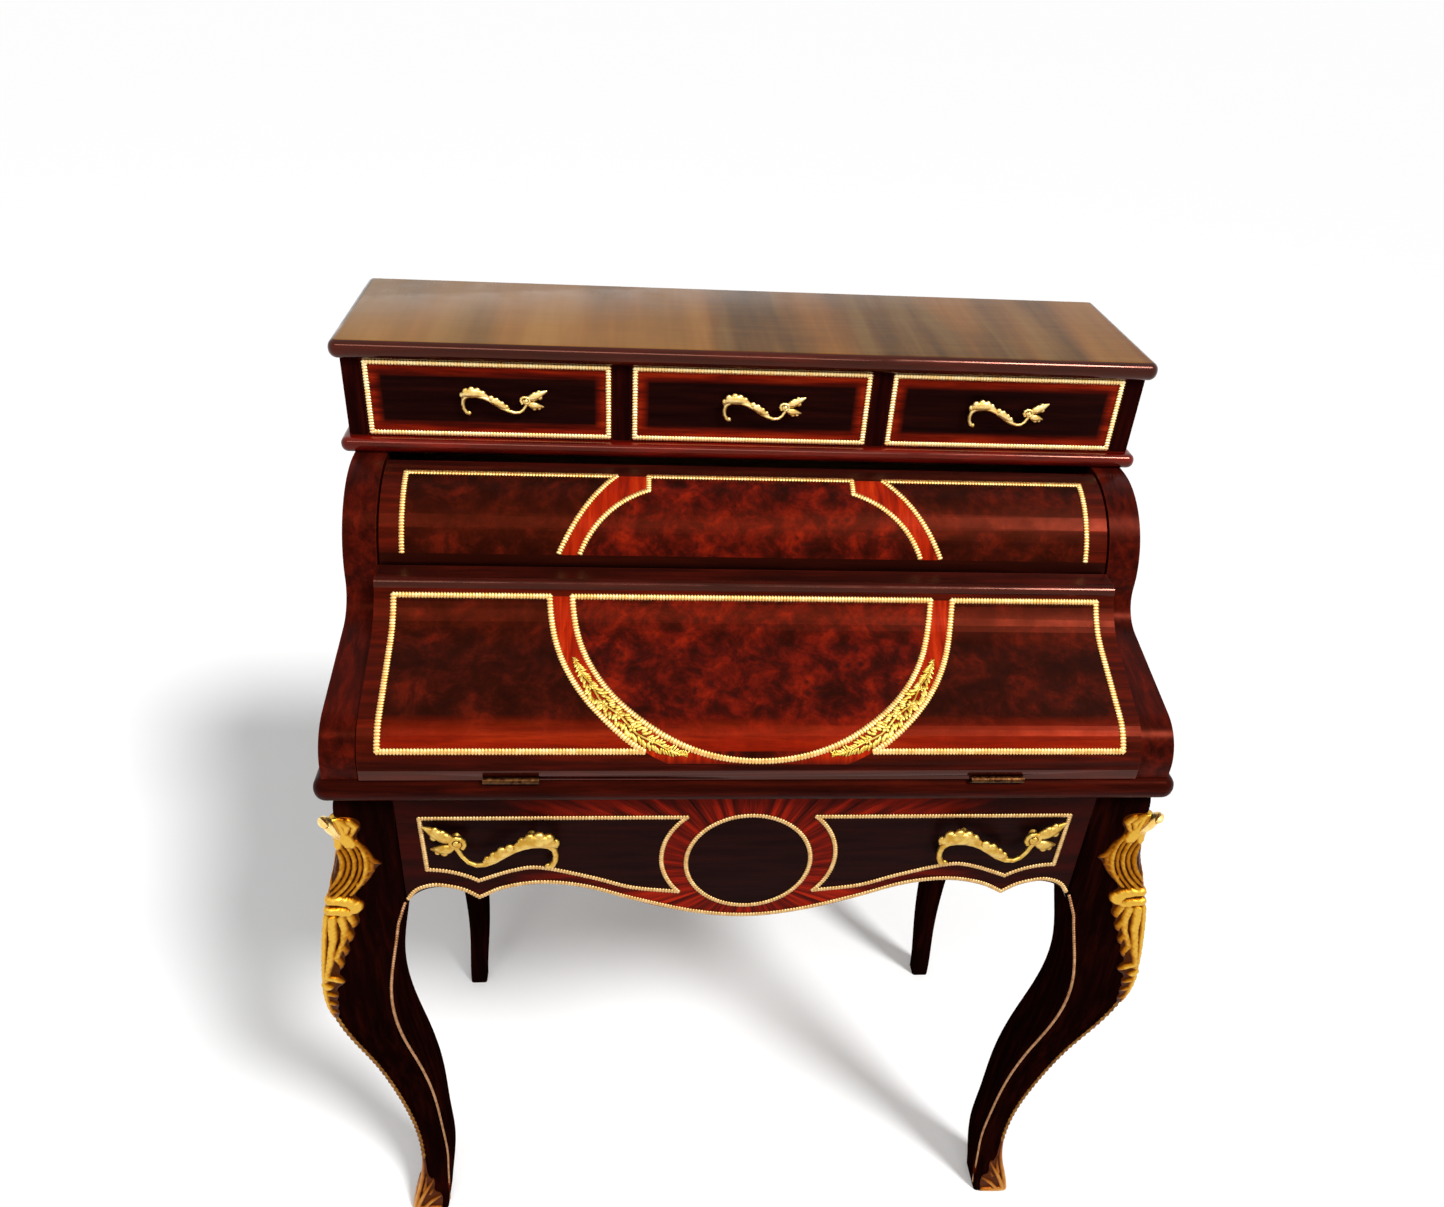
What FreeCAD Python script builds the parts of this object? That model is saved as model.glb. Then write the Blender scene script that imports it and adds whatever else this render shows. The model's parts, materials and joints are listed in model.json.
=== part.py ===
import FreeCAD, Part
import math
import os

os.makedirs("parts", exist_ok=True)
Vec = FreeCAD.Vector

# Working allowances
OVERRUN = 6.0
SLIDE_GAP = 1.0
LID_GAP = 2.0
RUNNING_FIT = 0.05
SEAT_GAP = 0.2
FLAT = 0.01

# Top board
TOP_THICK = 20.0
TOP_OVERHANG = 10.0
TOP_FRONT_Y = 48.0
BACK_Y = 258.3
TOP_NOSE = 9.0
TOP_CORNER = 10.0

# Drawer case
CASE_FRONT_Y = 58.0
CASE_BACK_Y = 247.0
CASE_HALF_X = 425.0
CASE_SIDE_THICK = 20.0
DIVIDER_THICK = 20.0
TOP_DRAWER_COUNT = 3
CASE_HEIGHT = 86.0
FLOOR_THICK = 16.0
FLOOR_OVERHANG = 9.0
FLOOR_FRONT_Y = 46.0
FLOOR_NOSE = 7.0
FLOOR_CORNER = 8.0
BACK_PANEL_THICK = 10.0
BACK_PANEL_INSET = 9.0

# Desk top, with the rise from it to the drawer case
DESK_Z = 784.0
WRITING_RISE = 212.0
DESK_THICK = 26.0
DESK_OVERHANG = 5.0
DESK_FRONT_Y = -237.0
DESK_NOSE = 12.0
DESK_CORNER = 13.0

# Cheeks: quarter round, hollow, slope and roll of the S outline
CHEEK_SET_IN = 5.0
CHEEK_THICK = 34.0
CHEEK_ROUND = 94.0
CHEEK_HOLLOW = 40.0
CHEEK_ROLL = 45.0
CHEEK_SLOPE_DEG = 13.0
CHEEK_FRONT_Y = -228.0

# Cylinder
AXIS_Y = 40.0
CYLINDER_R = 92.0
CYLINDER_THICK = 14.0
CYLINDER_LOW_DEG = 3.0
CYLINDER_HIGH_DEG = 88.0
ARM_THICK = 8.0
ARM_INSET = 4.0
ARM_LOW_DEG = 10.0
ARM_HIGH_DEG = 82.0
ARM_HUB_R = 15.0
ARM_WEB = 16.0
PIVOT_R = 5.0
PIVOT_LENGTH = 34.0
PIVOT_SEAT = 16.0
STOP_SIZE = 13.0
STOP_GAP = 0.6

# Flap: lip, hollow, slope and roll of its outer face, flat inner face
FLAP_TOP_RISE = 136.0
FLAP_BACK_Y = -55.5
FLAP_BACK_RISE = 121.0
FLAP_FRONT_Y = -231.5
FLAP_BOTTOM_GAP = 1.5
FLAP_BOTTOM_THICK = 12.0
FLAP_ROLL = 48.0
FLAP_ROLL_RISE = 13.0
FLAP_HOLLOW = 80.0
FLAP_HOLLOW_Y = -128.0
FLAP_SLOPE_DEG = 22.0
FLAP_LIP_DEG = -25.0
FLAP_LIP_FLAT_Y = -76.0
FLAP_LIP_EASE = 2.4
LEATHER_THICK = 1.2
LEATHER_SIDE_MARGIN = 46.0
LEATHER_END_MARGIN = 30.0

# Flap hinges
HINGE_X = 240.0
HINGE_LENGTH = 54.0
HINGE_KNUCKLES = 3
HINGE_KNUCKLE_GAP = 0.4
HINGE_Y = -234.0
HINGE_RISE = 3.0
HINGE_BARREL_R = 3.5
HINGE_PIN_R = 2.0
HINGE_RELIEF_R = 3.9
HINGE_LEAF_THICK = 1.6
HINGE_FIXED_REACH = 18.0
HINGE_MOVING_REACH = 12.0

# Pigeonholes
NEST_FRONT_Y = 68.0
NEST_RISE = 100.0
NEST_THICK = 12.0
NEST_DIVIDER_X = 129.0

# Drawer boxes
TOP_FRONT_THICK = 18.0
TOP_BOX_THICK = 8.0
TOP_BOX_HEIGHT = 66.0
TOP_BOX_LIFT = 0.6
TOP_BACK_GAP = 15.0
TOP_BOTTOM_THICK = 5.0
BOTTOM_LIFT = 4.0
GROOVE_DEPTH = 3.0

# Frieze: outlines as half width and drop below the desk top
FRIEZE_FRONT_Y = -216.0
FRIEZE_DRAWN_HALF_X = 359.0
FRIEZE_FRONT_THICK = 20.0
FRIEZE_BOX_INSET = 14.0
FRIEZE_BOX_THICK = 12.0
FRIEZE_BOX_DROP = 116.0
FRIEZE_BOX_HEIGHT = 100.0
FRIEZE_BACK_GAP = 42.0
FRIEZE_BOTTOM_THICK = 6.0
FRIEZE_EDGE_MARGIN = 3.5
SCALLOP_END = [(359.0, 158.0), (347.0, 140.0), (323.0, 131.5), (300.0, 138.0), (283.0, 150.0)]
SCALLOP_MID = [
    (283.0, 150.0), (256.0, 135.5), (217.0, 128.5), (172.0, 135.0),
    (122.0, 154.0), (58.0, 174.5), (0.0, 182.0),
]
RUNNER_LAP = 25.0
RUNNER_THICK = 12.0
RUNNER_GUIDE_THICK = 12.0
RUNNER_GUIDE_HEIGHT = 40.0
APRON_SET_IN = 2.0
APRON_THICK = 20.0
APRON_END_DROP = 154.0
APRON_CUSP_DROP = 146.0
APRON_HUMP_DROP = 134.0
APRON_MID_DROP = 156.0
APRON_CUSP_SHARE = 0.18
APRON_HUMP_SHARE = 0.30
BACK_RAIL_THICK = 20.0
BACK_RAIL_HEIGHT = 120.0

# Front legs: shares of the height, then corner swell, face swell and inset of the inner faces at each
LEG_SET_IN = 12.0
LEG_Y = 218.0
LEG_BLOCK = 53.0
LEG_ROUND = 4.0
LEG_BLOCK_DROP = 165.0
LEG_HEIGHT_SHARES = [
    1.0, 0.9235, 0.8575, 0.7982, 0.7388, 0.6596, 0.5673,
    0.4485, 0.3298, 0.2111, 0.1319, 0.066, 0.0237, 0.0,
]
LEG_STATIONS = [
    (0.0, 0.0, 53.0),
    (4.0, 0.5, 53.0),
    (14.0, 1.0, 53.0),
    (25.0, 3.0, 52.0),
    (31.0, 12.0, 46.0),
    (35.0, 25.0, 37.0),
    (27.0, 24.0, 38.0),
    (7.0, 7.0, 49.0),
    (-9.0, -9.0, 57.0),
    (-20.0, -20.0, 59.0),
    (-22.0, -22.0, 60.0),
    (-17.0, -17.0, 56.0),
    (-9.0, -9.0, 52.0),
    (-7.0, -7.0, 50.0),
]

# Rear legs: shares of the height, then set-in from the side, set-in from the back and thickness at each
REAR_BACK_Y = 250.0
REAR_HEIGHT_SHARES = [1.0, 0.8179, 0.7124, 0.5805, 0.4222, 0.2639, 0.1319, 0.0]
REAR_STATIONS = [
    (26.5, 26.5, 53.0),
    (26.5, 26.5, 53.0),
    (25.0, 27.0, 52.0),
    (29.0, 36.0, 46.0),
    (42.0, 54.0, 39.0),
    (54.0, 70.0, 33.0),
    (54.0, 78.0, 28.0),
    (48.0, 80.0, 25.0),
]

# Gilt mounts: drop below the desk top and half width of the knee mount on each face
KNEE_MOUNT_THICK = 6.0
KNEE_HEAD = [(28.0, 4.0), (31.0, 22.0), (42.0, 24.0), (54.0, 15.0), (72.0, 24.0), (93.0, 37.0)]
KNEE_BODY = [(93.0, 37.0), (110.0, 25.0), (134.0, 15.0), (152.0, 25.0)]
KNEE_TAIL = [
    (152.0, 25.0), (183.0, 21.0), (223.0, 19.0), (258.0, 10.0), (288.0, 5.0), (358.0, 4.0), (413.0, 3.0),
]
SABOT_THICK = 2.6
SABOT_CORNER_Z = 100.0
SABOT_TILT_DEG = 72.0
SABOT_LOFT_Z = 180.0

# Gilt stringing
STRING_HALF = 2.3
STRING_PROUD = 1.3
STRING_BEVEL = 0.8
LEG_STRING_INSET = 5.0
LEG_STRING_TOP_DROP = 154.0
LEG_STRING_LOW_Z = 70.0
TOP_FRAME_INSET = 3.0
CYLINDER_FRAME_MARGIN = 23.0
CYLINDER_FRAME_TOP = 25.0
CYLINDER_FRAME_END = 128.0
CYLINDER_TIP_X = 143.0
CYLINDER_OUTER_VIA = (184.0, 80.0)
CYLINDER_OUTER_END = (207.0, 128.0)
CYLINDER_FLAT_X = 109.0
CYLINDER_NOTCH = 44.0
CYLINDER_INNER_VIA = (147.0, 67.0)
CYLINDER_INNER_END = (184.0, 128.0)
FLAP_FRAME_MARGIN = 19.5
FLAP_FRAME_TOP = 7.0
FLAP_FRAME_LOW = 175.0
FLAP_RING_INNER_R = 186.0
FLAP_RING_WIDTH = 23.0
FLAP_RING_CENTRE = -1.0
ARC_POINTS = 12
RISE_POINTS = 8
FLAP_POINTS = 18
NOTCH_POINTS = 2
FOLIAGE_THICK = 2.2
FOLIAGE_ROOT_DEG = 67.0
FOLIAGE_END_DEG = 22.0
FOLIAGE_OUTER_R = 205.0
FOLIAGE_INNER_R = 190.0
FRIEZE_PANEL_X = 336.0
FRIEZE_PANEL_LOW_X = 334.0
FRIEZE_PANEL_TOP_DROP = 37.0
FRIEZE_PANEL_LOW_DROP = 109.0
FRIEZE_PANEL_TIP = (67.0, 37.0)
FRIEZE_PANEL_WAIST = (92.0, 93.0)
FRIEZE_PANEL_FOOT = (73.0, 145.0)
FRIEZE_LOW_CURVE = [
    (73.0, 145.0), (122.0, 138.0), (163.0, 123.0), (216.0, 107.5), (245.0, 110.5), (282.5, 125.5),
]
FRIEZE_END_CURVE = [(282.5, 125.5), (308.0, 113.0), (334.0, 109.0)]
RONDEL_DROP = 101.0
RONDEL_R = 66.0

# Cast pulls: path along length, height and reach, as shares of each
TOP_PULL_LENGTH = 88.0
TOP_PULL_HEIGHT = 31.0
TOP_PULL_REACH = 15.0
TOP_PULL_ROD_R = 2.7
TOP_PULL_RISE = 45.0
TOP_PULL_OFFSETS = [17.0, 14.0, 4.0]
FRIEZE_PULL_LENGTH = 134.0
FRIEZE_PULL_HEIGHT = 54.0
FRIEZE_PULL_REACH = 20.0
FRIEZE_PULL_ROD_R = 3.4
FRIEZE_PULL_X = 267.0
FRIEZE_PULL_DROP = 72.0
PULL_PATH_SHARES = [
    (-0.48, 0.45, -0.40), (-0.485, 0.50, -0.05), (-0.42, 0.55, 0.30), (-0.30, 0.62, 0.30),
    (-0.18, 0.72, 0.06), (0.02, 0.80, -0.28), (0.18, 0.74, -0.30),
    (0.27, 0.55, 0.06), (0.38, 0.50, 0.24), (0.48, 0.45, 0.46),
]
PULL_PATH_SWELL_SHARES = [0.4, 0.8, 1.3, 1.5, 1.0, 0.8, 0.9, 1.3, 1.0, 0.35]
PULL_PRONG_SHARES = [(0.27, 0.55, 0.06), (0.34, 0.52, 0.04), (0.41, 0.48, -0.02), (0.46, 0.42, -0.08)]
PULL_PRONG_SWELL_SHARES = [0.6, 0.9, 0.8, 0.3]
PULL_POST_SHARES = [(-0.30, 0.62, 0.30), (0.27, 0.55, 0.06)]

# Sizes that follow from the ones above
DESK_UNDER_Z = DESK_Z - DESK_THICK
DESK_BACK_Y = CASE_BACK_Y + BACK_PANEL_THICK
FLOOR_Z = DESK_Z + WRITING_RISE
CASE_LOW_Z = FLOOR_Z + FLOOR_THICK
TOP_UNDER_Z = CASE_LOW_Z + CASE_HEIGHT
TOP_Z = TOP_UNDER_Z + TOP_THICK
CASE_INNER_X = CASE_HALF_X - CASE_SIDE_THICK
TOP_HALF_X = CASE_HALF_X + TOP_OVERHANG
FLOOR_HALF_X = CASE_HALF_X + FLOOR_OVERHANG
DESK_HALF_X = CASE_HALF_X + DESK_OVERHANG
CHEEK_OUTER_X = CASE_HALF_X - CHEEK_SET_IN
CHEEK_INNER_X = CHEEK_OUTER_X - CHEEK_THICK
LEG_X = CASE_HALF_X - LEG_SET_IN
APRON_OUTER_X = LEG_X - APRON_SET_IN
AXIS_Z = FLOOR_Z - CHEEK_ROUND
LID_HALF_X = CHEEK_INNER_X - LID_GAP
CYLINDER_FRAME_X = LID_HALF_X - CYLINDER_FRAME_MARGIN
FLAP_FRAME_X = LID_HALF_X - FLAP_FRAME_MARGIN
FLAP_RING_OUTER_R = FLAP_RING_INNER_R + FLAP_RING_WIDTH
FLAP_TOP_Z = DESK_Z + FLAP_TOP_RISE
FLAP_BACK_LOW_Z = DESK_Z + FLAP_BACK_RISE
FLAP_ROLL_Z = DESK_Z + FLAP_ROLL_RISE
HINGE_Z = DESK_Z + HINGE_RISE
NEST_TOP_Z = DESK_Z + NEST_RISE
BAY_WIDTH = (CASE_INNER_X + CASE_INNER_X - (TOP_DRAWER_COUNT - 1) * DIVIDER_THICK) / TOP_DRAWER_COUNT
FLAP_BOTTOM_Z = DESK_Z + FLAP_BOTTOM_GAP
LEG_INNER_X = LEG_X - LEG_BLOCK
LEG_REAR_Y = LEG_BLOCK - LEG_Y
FRIEZE_HALF_X = LEG_INNER_X - SLIDE_GAP
FRIEZE_BOX_HALF_X = FRIEZE_HALF_X - FRIEZE_BOX_INSET
FRIEZE_BOX_Z = DESK_UNDER_Z - FRIEZE_BOX_DROP
FRIEZE_BOX_BACK_Y = REAR_BACK_Y - BACK_RAIL_THICK - FRIEZE_BACK_GAP


def block(x_span, y_span, z_span):
    size = [high - low for low, high in (x_span, y_span, z_span)]
    return Part.makeBox(*size, Vec(x_span[0], y_span[0], z_span[0]))


def mirror_x(shape):
    return shape.mirror(Vec(0, 0, 0), Vec(1, 0, 0))


def save(name, *solids):
    shape = solids[0] if len(solids) == 1 else Part.makeCompound(list(solids))
    shape.exportStep("parts/" + name + ".step")


def save_pair(name, right):
    save(name + "_right", right)
    save(name + "_left", mirror_x(right))


def polar(centre, radius, degrees):
    turn = math.radians(degrees)
    return centre[0] + radius * math.cos(turn), centre[1] + radius * math.sin(turn)


def curve_edge(points):
    if len(points) == 2:
        return Part.makeLine(*points)
    if len(points) == 3:
        return Part.Arc(*points).toShape()
    curve = Part.BSplineCurve()
    curve.interpolate(points)
    return curve.toShape()


def outline(start, steps, place):
    """Closed wire. A step of one point is a line, of two an arc, of more a curve."""
    edges = []
    here = start
    for step in steps:
        edges.append(curve_edge([place(*point) for point in [here, *step]]))
        here = step[-1]
    return Part.Wire(edges)


def prism_x(start, steps, x_low, x_high):
    wire = outline(start, steps, lambda y, z: Vec(x_low, y, z))
    return Part.Face(wire).extrude(Vec(x_high - x_low, 0, 0))


def rod_x(y, z, radius, x_low, x_high):
    return Part.makeCylinder(radius, x_high - x_low, Vec(x_low, y, z), Vec(1, 0, 0))


def nosed_board(half_x, front_y, back_y, z_span, nose, corner):
    """Board with a round nosing along its front and both ends."""
    board = block((-half_x, half_x), (front_y, back_y), z_span)
    upright = [e for e in board.Edges if e.BoundBox.YMax < front_y + FLAT and e.BoundBox.XLength < FLAT]
    board = board.makeFillet(corner, upright)
    rim = [e for e in board.Edges if e.BoundBox.ZLength < FLAT and e.BoundBox.YMin < back_y - FLAT]
    return board.makeFillet(nose, rim)


# Drawer case
def top_board():
    return nosed_board(TOP_HALF_X, TOP_FRONT_Y, BACK_Y, (TOP_UNDER_Z, TOP_Z), TOP_NOSE, TOP_CORNER)


def case_floor():
    span = (FLOOR_Z, CASE_LOW_Z)
    return nosed_board(FLOOR_HALF_X, FLOOR_FRONT_Y, CASE_BACK_Y, span, FLOOR_NOSE, FLOOR_CORNER)


def case_side():
    return block((CASE_INNER_X, CASE_HALF_X), (CASE_FRONT_Y, CASE_BACK_Y), (CASE_LOW_Z, TOP_UNDER_Z))


def bay_left(index):
    return index * (BAY_WIDTH + DIVIDER_THICK) - CASE_INNER_X


def case_divider(index):
    right = bay_left(index + 1)
    return block((right - DIVIDER_THICK, right), (CASE_FRONT_Y, CASE_BACK_Y), (CASE_LOW_Z, TOP_UNDER_Z))


def back_panel():
    half_x = CASE_HALF_X - BACK_PANEL_INSET
    return block((-half_x, half_x), (CASE_BACK_Y, CASE_BACK_Y + BACK_PANEL_THICK), (DESK_Z, TOP_UNDER_Z))


# Writing part
def cheek_outline():
    """S outline: quarter round, hollow, slope, roll, then the straight foot."""
    axis = (AXIS_Y, AXIS_Z)
    hollow = (AXIS_Y - CHEEK_ROUND - CHEEK_HOLLOW, AXIS_Z)
    hollow_end_deg = CHEEK_SLOPE_DEG - 90
    slope_start = polar(hollow, CHEEK_HOLLOW, hollow_end_deg)
    roll_y = CHEEK_FRONT_Y + CHEEK_ROLL
    slope_deg = CHEEK_SLOPE_DEG + 90
    slope_end_y = polar((roll_y, 0), CHEEK_ROLL, slope_deg)[0]
    fall = (slope_start[0] - slope_end_y) * math.tan(math.radians(CHEEK_SLOPE_DEG))
    slope_end = (slope_end_y, slope_start[1] - fall)
    roll = (roll_y, slope_end[1] - polar((0, 0), CHEEK_ROLL, slope_deg)[1])
    start = (CASE_BACK_Y, DESK_Z)
    steps = [
        [(CASE_BACK_Y, FLOOR_Z)],
        [(AXIS_Y, FLOOR_Z)],
        [polar(axis, CHEEK_ROUND, 135), polar(axis, CHEEK_ROUND, 180)],
        [polar(hollow, CHEEK_HOLLOW, hollow_end_deg / 2), slope_start],
        [slope_end],
        [polar(roll, CHEEK_ROLL, (slope_deg + 180) / 2), polar(roll, CHEEK_ROLL, 180)],
        [(CHEEK_FRONT_Y, DESK_Z)],
        [start],
    ]
    return start, steps


def cheek():
    start, steps = cheek_outline()
    body = prism_x(start, steps, CHEEK_INNER_X, CHEEK_OUTER_X)
    return body.cut(rod_x(AXIS_Y, AXIS_Z, PIVOT_R, CHEEK_INNER_X - OVERRUN, CHEEK_INNER_X + PIVOT_SEAT))


def desk_top():
    span = (DESK_UNDER_Z, DESK_Z)
    board = nosed_board(DESK_HALF_X, DESK_FRONT_Y, DESK_BACK_Y, span, DESK_NOSE, DESK_CORNER)
    leaf_z = DESK_Z - HINGE_LEAF_THICK
    for side in (-1, 1):
        board = board.cut(hinge_leaf(side * HINGE_X, HINGE_FIXED_REACH, leaf_z, DESK_FRONT_Y))
    return board


def nest_shelf():
    span = (NEST_TOP_Z - NEST_THICK, NEST_TOP_Z)
    return block((-CHEEK_INNER_X, CHEEK_INNER_X), (NEST_FRONT_Y, CASE_BACK_Y), span)


def nest_divider():
    x_span = (NEST_DIVIDER_X, NEST_DIVIDER_X + NEST_THICK)
    return block(x_span, (NEST_FRONT_Y, CASE_BACK_Y), (DESK_Z, NEST_TOP_Z - NEST_THICK))


# Cylinder
def on_cylinder(x, along):
    """Point and outward direction on the cylinder, measured along the curve from its crown."""
    turn = along / CYLINDER_R
    out = Vec(0, -math.sin(turn), math.cos(turn))
    return Vec(x, AXIS_Y, AXIS_Z) + out * CYLINDER_R, out


def ring_sector(inner_r, outer_r, low_deg, high_deg, x_low, x_high):
    axis = (AXIS_Y, AXIS_Z)
    start_deg = 180 - low_deg
    end_deg = 180 - high_deg
    mid_deg = (start_deg + end_deg) / 2
    start = polar(axis, inner_r, start_deg)
    steps = [
        [polar(axis, outer_r, start_deg)],
        [polar(axis, outer_r, mid_deg), polar(axis, outer_r, end_deg)],
        [polar(axis, inner_r, end_deg)],
        [polar(axis, inner_r, mid_deg), start],
    ]
    return prism_x(start, steps, x_low, x_high)


def cylinder_panel():
    inner_r = CYLINDER_R - CYLINDER_THICK
    return ring_sector(inner_r, CYLINDER_R, CYLINDER_LOW_DEG, CYLINDER_HIGH_DEG, -LID_HALF_X, LID_HALF_X)


def cylinder_arm():
    """Quadrant plate: hub, open web and a rim that carries the panel."""
    x_high = LID_HALF_X - ARM_INSET
    x_low = x_high - ARM_THICK
    rim_r = CYLINDER_R - CYLINDER_THICK
    plate = ring_sector(ARM_HUB_R / 2, rim_r, ARM_LOW_DEG, ARM_HIGH_DEG, x_low, x_high)
    plate = plate.fuse(rod_x(AXIS_Y, AXIS_Z, ARM_HUB_R, x_low, x_high))
    spoke_deg = math.degrees(ARM_WEB / rim_r)
    window = ring_sector(
        ARM_HUB_R + ARM_WEB, rim_r - ARM_WEB, ARM_LOW_DEG + spoke_deg, ARM_HIGH_DEG - spoke_deg,
        x_low - OVERRUN, x_high + OVERRUN)
    bore = rod_x(AXIS_Y, AXIS_Z, PIVOT_R + RUNNING_FIT, x_low - OVERRUN, x_high + OVERRUN)
    return plate.cut(window).cut(bore).removeSplitter()


def cylinder_pivot():
    end = CHEEK_INNER_X + PIVOT_SEAT
    return rod_x(AXIS_Y, AXIS_Z, PIVOT_R, end - PIVOT_LENGTH, end)


def cylinder_stop():
    low = polar((AXIS_Y, AXIS_Z), CYLINDER_R, 180 - CYLINDER_LOW_DEG)
    rest = polar((AXIS_Y, AXIS_Z), CYLINDER_R - CYLINDER_THICK, 180 - CYLINDER_LOW_DEG)
    top_z = rest[1] - STOP_GAP
    x_span = (CHEEK_INNER_X - STOP_SIZE, CHEEK_INNER_X)
    return block(x_span, (low[0], low[0] + STOP_SIZE), (top_z - STOP_SIZE, top_z))


# Flap
def flap_marks(grow=0.0):
    """Centres and tangent points of the flap's outer face, grown outward by a skin."""
    slope = math.radians(FLAP_SLOPE_DEG)
    roll = (FLAP_FRONT_Y + FLAP_ROLL, FLAP_ROLL_Z)
    slope_low = polar(roll, FLAP_ROLL, FLAP_SLOPE_DEG + 90)
    rise = (FLAP_HOLLOW_Y - slope_low[0]) * math.tan(slope)
    slope_high = (FLAP_HOLLOW_Y, slope_low[1] + rise)
    hollow = polar(slope_high, FLAP_HOLLOW, FLAP_SLOPE_DEG + 90)
    return {
        "roll": roll,
        "roll_r": FLAP_ROLL + grow,
        "hollow": hollow,
        "hollow_r": FLAP_HOLLOW - grow,
        "slope_low": polar(roll, FLAP_ROLL + grow, FLAP_SLOPE_DEG + 90),
        "slope_high": polar(hollow, FLAP_HOLLOW - grow, FLAP_SLOPE_DEG - 90),
        "slope_length": math.dist(slope_low, slope_high),
    }


def flap_solid(grow=0.0):
    marks = flap_marks(grow)
    front_y = FLAP_FRONT_Y - grow
    hollow_end_deg = FLAP_SLOPE_DEG - 90
    lip = polar(marks["hollow"], marks["hollow_r"], FLAP_LIP_DEG)
    lip_top = (FLAP_LIP_FLAT_Y, FLAP_TOP_Z)
    lip_mid = ((lip[0] + lip_top[0]) / 2 - FLAP_LIP_EASE, (lip[1] + lip_top[1]) / 2 + FLAP_LIP_EASE)
    start = (FLAP_FRONT_Y + FLAP_BOTTOM_THICK, FLAP_BOTTOM_Z)
    steps = [
        [(front_y, FLAP_BOTTOM_Z)],
        [(front_y, FLAP_ROLL_Z)],
        [polar(marks["roll"], marks["roll_r"], (FLAP_SLOPE_DEG + 270) / 2), marks["slope_low"]],
        [marks["slope_high"]],
        [polar(marks["hollow"], marks["hollow_r"], (FLAP_LIP_DEG + hollow_end_deg) / 2), lip],
        [lip_mid, lip_top],
        [(FLAP_BACK_Y, FLAP_TOP_Z)],
        [(FLAP_BACK_Y, FLAP_BACK_LOW_Z)],
        [start],
    ]
    return prism_x(start, steps, -LID_HALF_X, LID_HALF_X)


def on_flap(x, along):
    """Point and outward direction on the flap, measured down the curve from its lip."""
    marks = flap_marks()
    hollow_length = FLAP_HOLLOW * math.radians(FLAP_LIP_DEG - (FLAP_SLOPE_DEG - 90))
    below = along - hollow_length - marks["slope_length"]
    if along < hollow_length:
        turn_deg = FLAP_LIP_DEG - math.degrees(along / FLAP_HOLLOW)
        place = polar(marks["hollow"], FLAP_HOLLOW, turn_deg)
        out = polar((0, 0), -1, turn_deg)
    elif below < 0:
        place = polar(marks["slope_high"], hollow_length - along, FLAP_SLOPE_DEG)
        out = polar((0, 0), 1, FLAP_SLOPE_DEG + 90)
    else:
        turn_deg = FLAP_SLOPE_DEG + 90 + math.degrees(below / FLAP_ROLL)
        place = polar(marks["roll"], FLAP_ROLL, turn_deg)
        out = polar((0, 0), 1, turn_deg)
    return Vec(x, *place), Vec(0, *out)


def flap_panel():
    body = flap_solid()
    for side in (-1, 1):
        centre = side * HINGE_X
        body = body.cut(hinge_leaf(centre, HINGE_MOVING_REACH, FLAP_BOTTOM_Z, HINGE_Y))
        body = body.cut(hinge_barrel(centre, range(HINGE_KNUCKLES), HINGE_RELIEF_R))
    return body


def inner_slope():
    low = Vec(0, FLAP_FRONT_Y + FLAP_BOTTOM_THICK, FLAP_BOTTOM_Z)
    high = Vec(0, FLAP_BACK_Y, FLAP_BACK_LOW_Z)
    return low, high


def flap_leather():
    """Thin sheet on the flat inner face."""
    low, high = inner_slope()
    along = (high - low).normalize()
    out = Vec(1, 0, 0).cross(along)
    out = out * (-LEATHER_THICK)
    half_x = LID_HALF_X - LEATHER_SIDE_MARGIN
    first = low + along * LEATHER_END_MARGIN
    last = high - along * LEATHER_END_MARGIN
    across = Vec(half_x, 0, 0)
    corners = [first - across, first + across, last + across, last - across, first - across]
    return Part.Face(Part.makePolygon(corners)).extrude(out)


# Hinges
def hinge_leaf(centre_x, reach, low_z, front_y):
    half = HINGE_LENGTH / 2
    z_span = (low_z, low_z + HINGE_LEAF_THICK)
    return block((centre_x - half, centre_x + half), (front_y, HINGE_Y + reach), z_span)


def hinge_barrel(centre_x, knuckles, radius):
    step = HINGE_LENGTH / HINGE_KNUCKLES
    trim = HINGE_KNUCKLE_GAP / 2 if radius == HINGE_BARREL_R else 0
    rods = []
    for index in knuckles:
        low = centre_x - HINGE_LENGTH / 2 + index * step
        rods.append(rod_x(HINGE_Y, HINGE_Z, radius, low + trim, low + step - trim))
    return rods[0].multiFuse(rods[1:]) if len(rods) > 1 else rods[0]


def hinge_half(centre_x, knuckles, reach, low_z):
    others = [index for index in range(HINGE_KNUCKLES) if index not in knuckles]
    leaf = hinge_leaf(centre_x, reach, low_z, HINGE_Y)
    leaf = leaf.cut(hinge_barrel(centre_x, others, HINGE_RELIEF_R))
    body = leaf.fuse(hinge_barrel(centre_x, knuckles, HINGE_BARREL_R))
    half = HINGE_LENGTH / 2 + OVERRUN
    return body.cut(rod_x(HINGE_Y, HINGE_Z, HINGE_PIN_R + RUNNING_FIT, centre_x - half, centre_x + half))


def hinge_fixed(side):
    return hinge_half(side * HINGE_X, [0, 2], HINGE_FIXED_REACH, DESK_Z - HINGE_LEAF_THICK)


def hinge_moving(side):
    return hinge_half(side * HINGE_X, [1], HINGE_MOVING_REACH, FLAP_BOTTOM_Z)


def hinge_pin(side):
    half = HINGE_LENGTH / 2
    return rod_x(HINGE_Y, HINGE_Z, HINGE_PIN_R, side * HINGE_X - half, side * HINGE_X + half)


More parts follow.
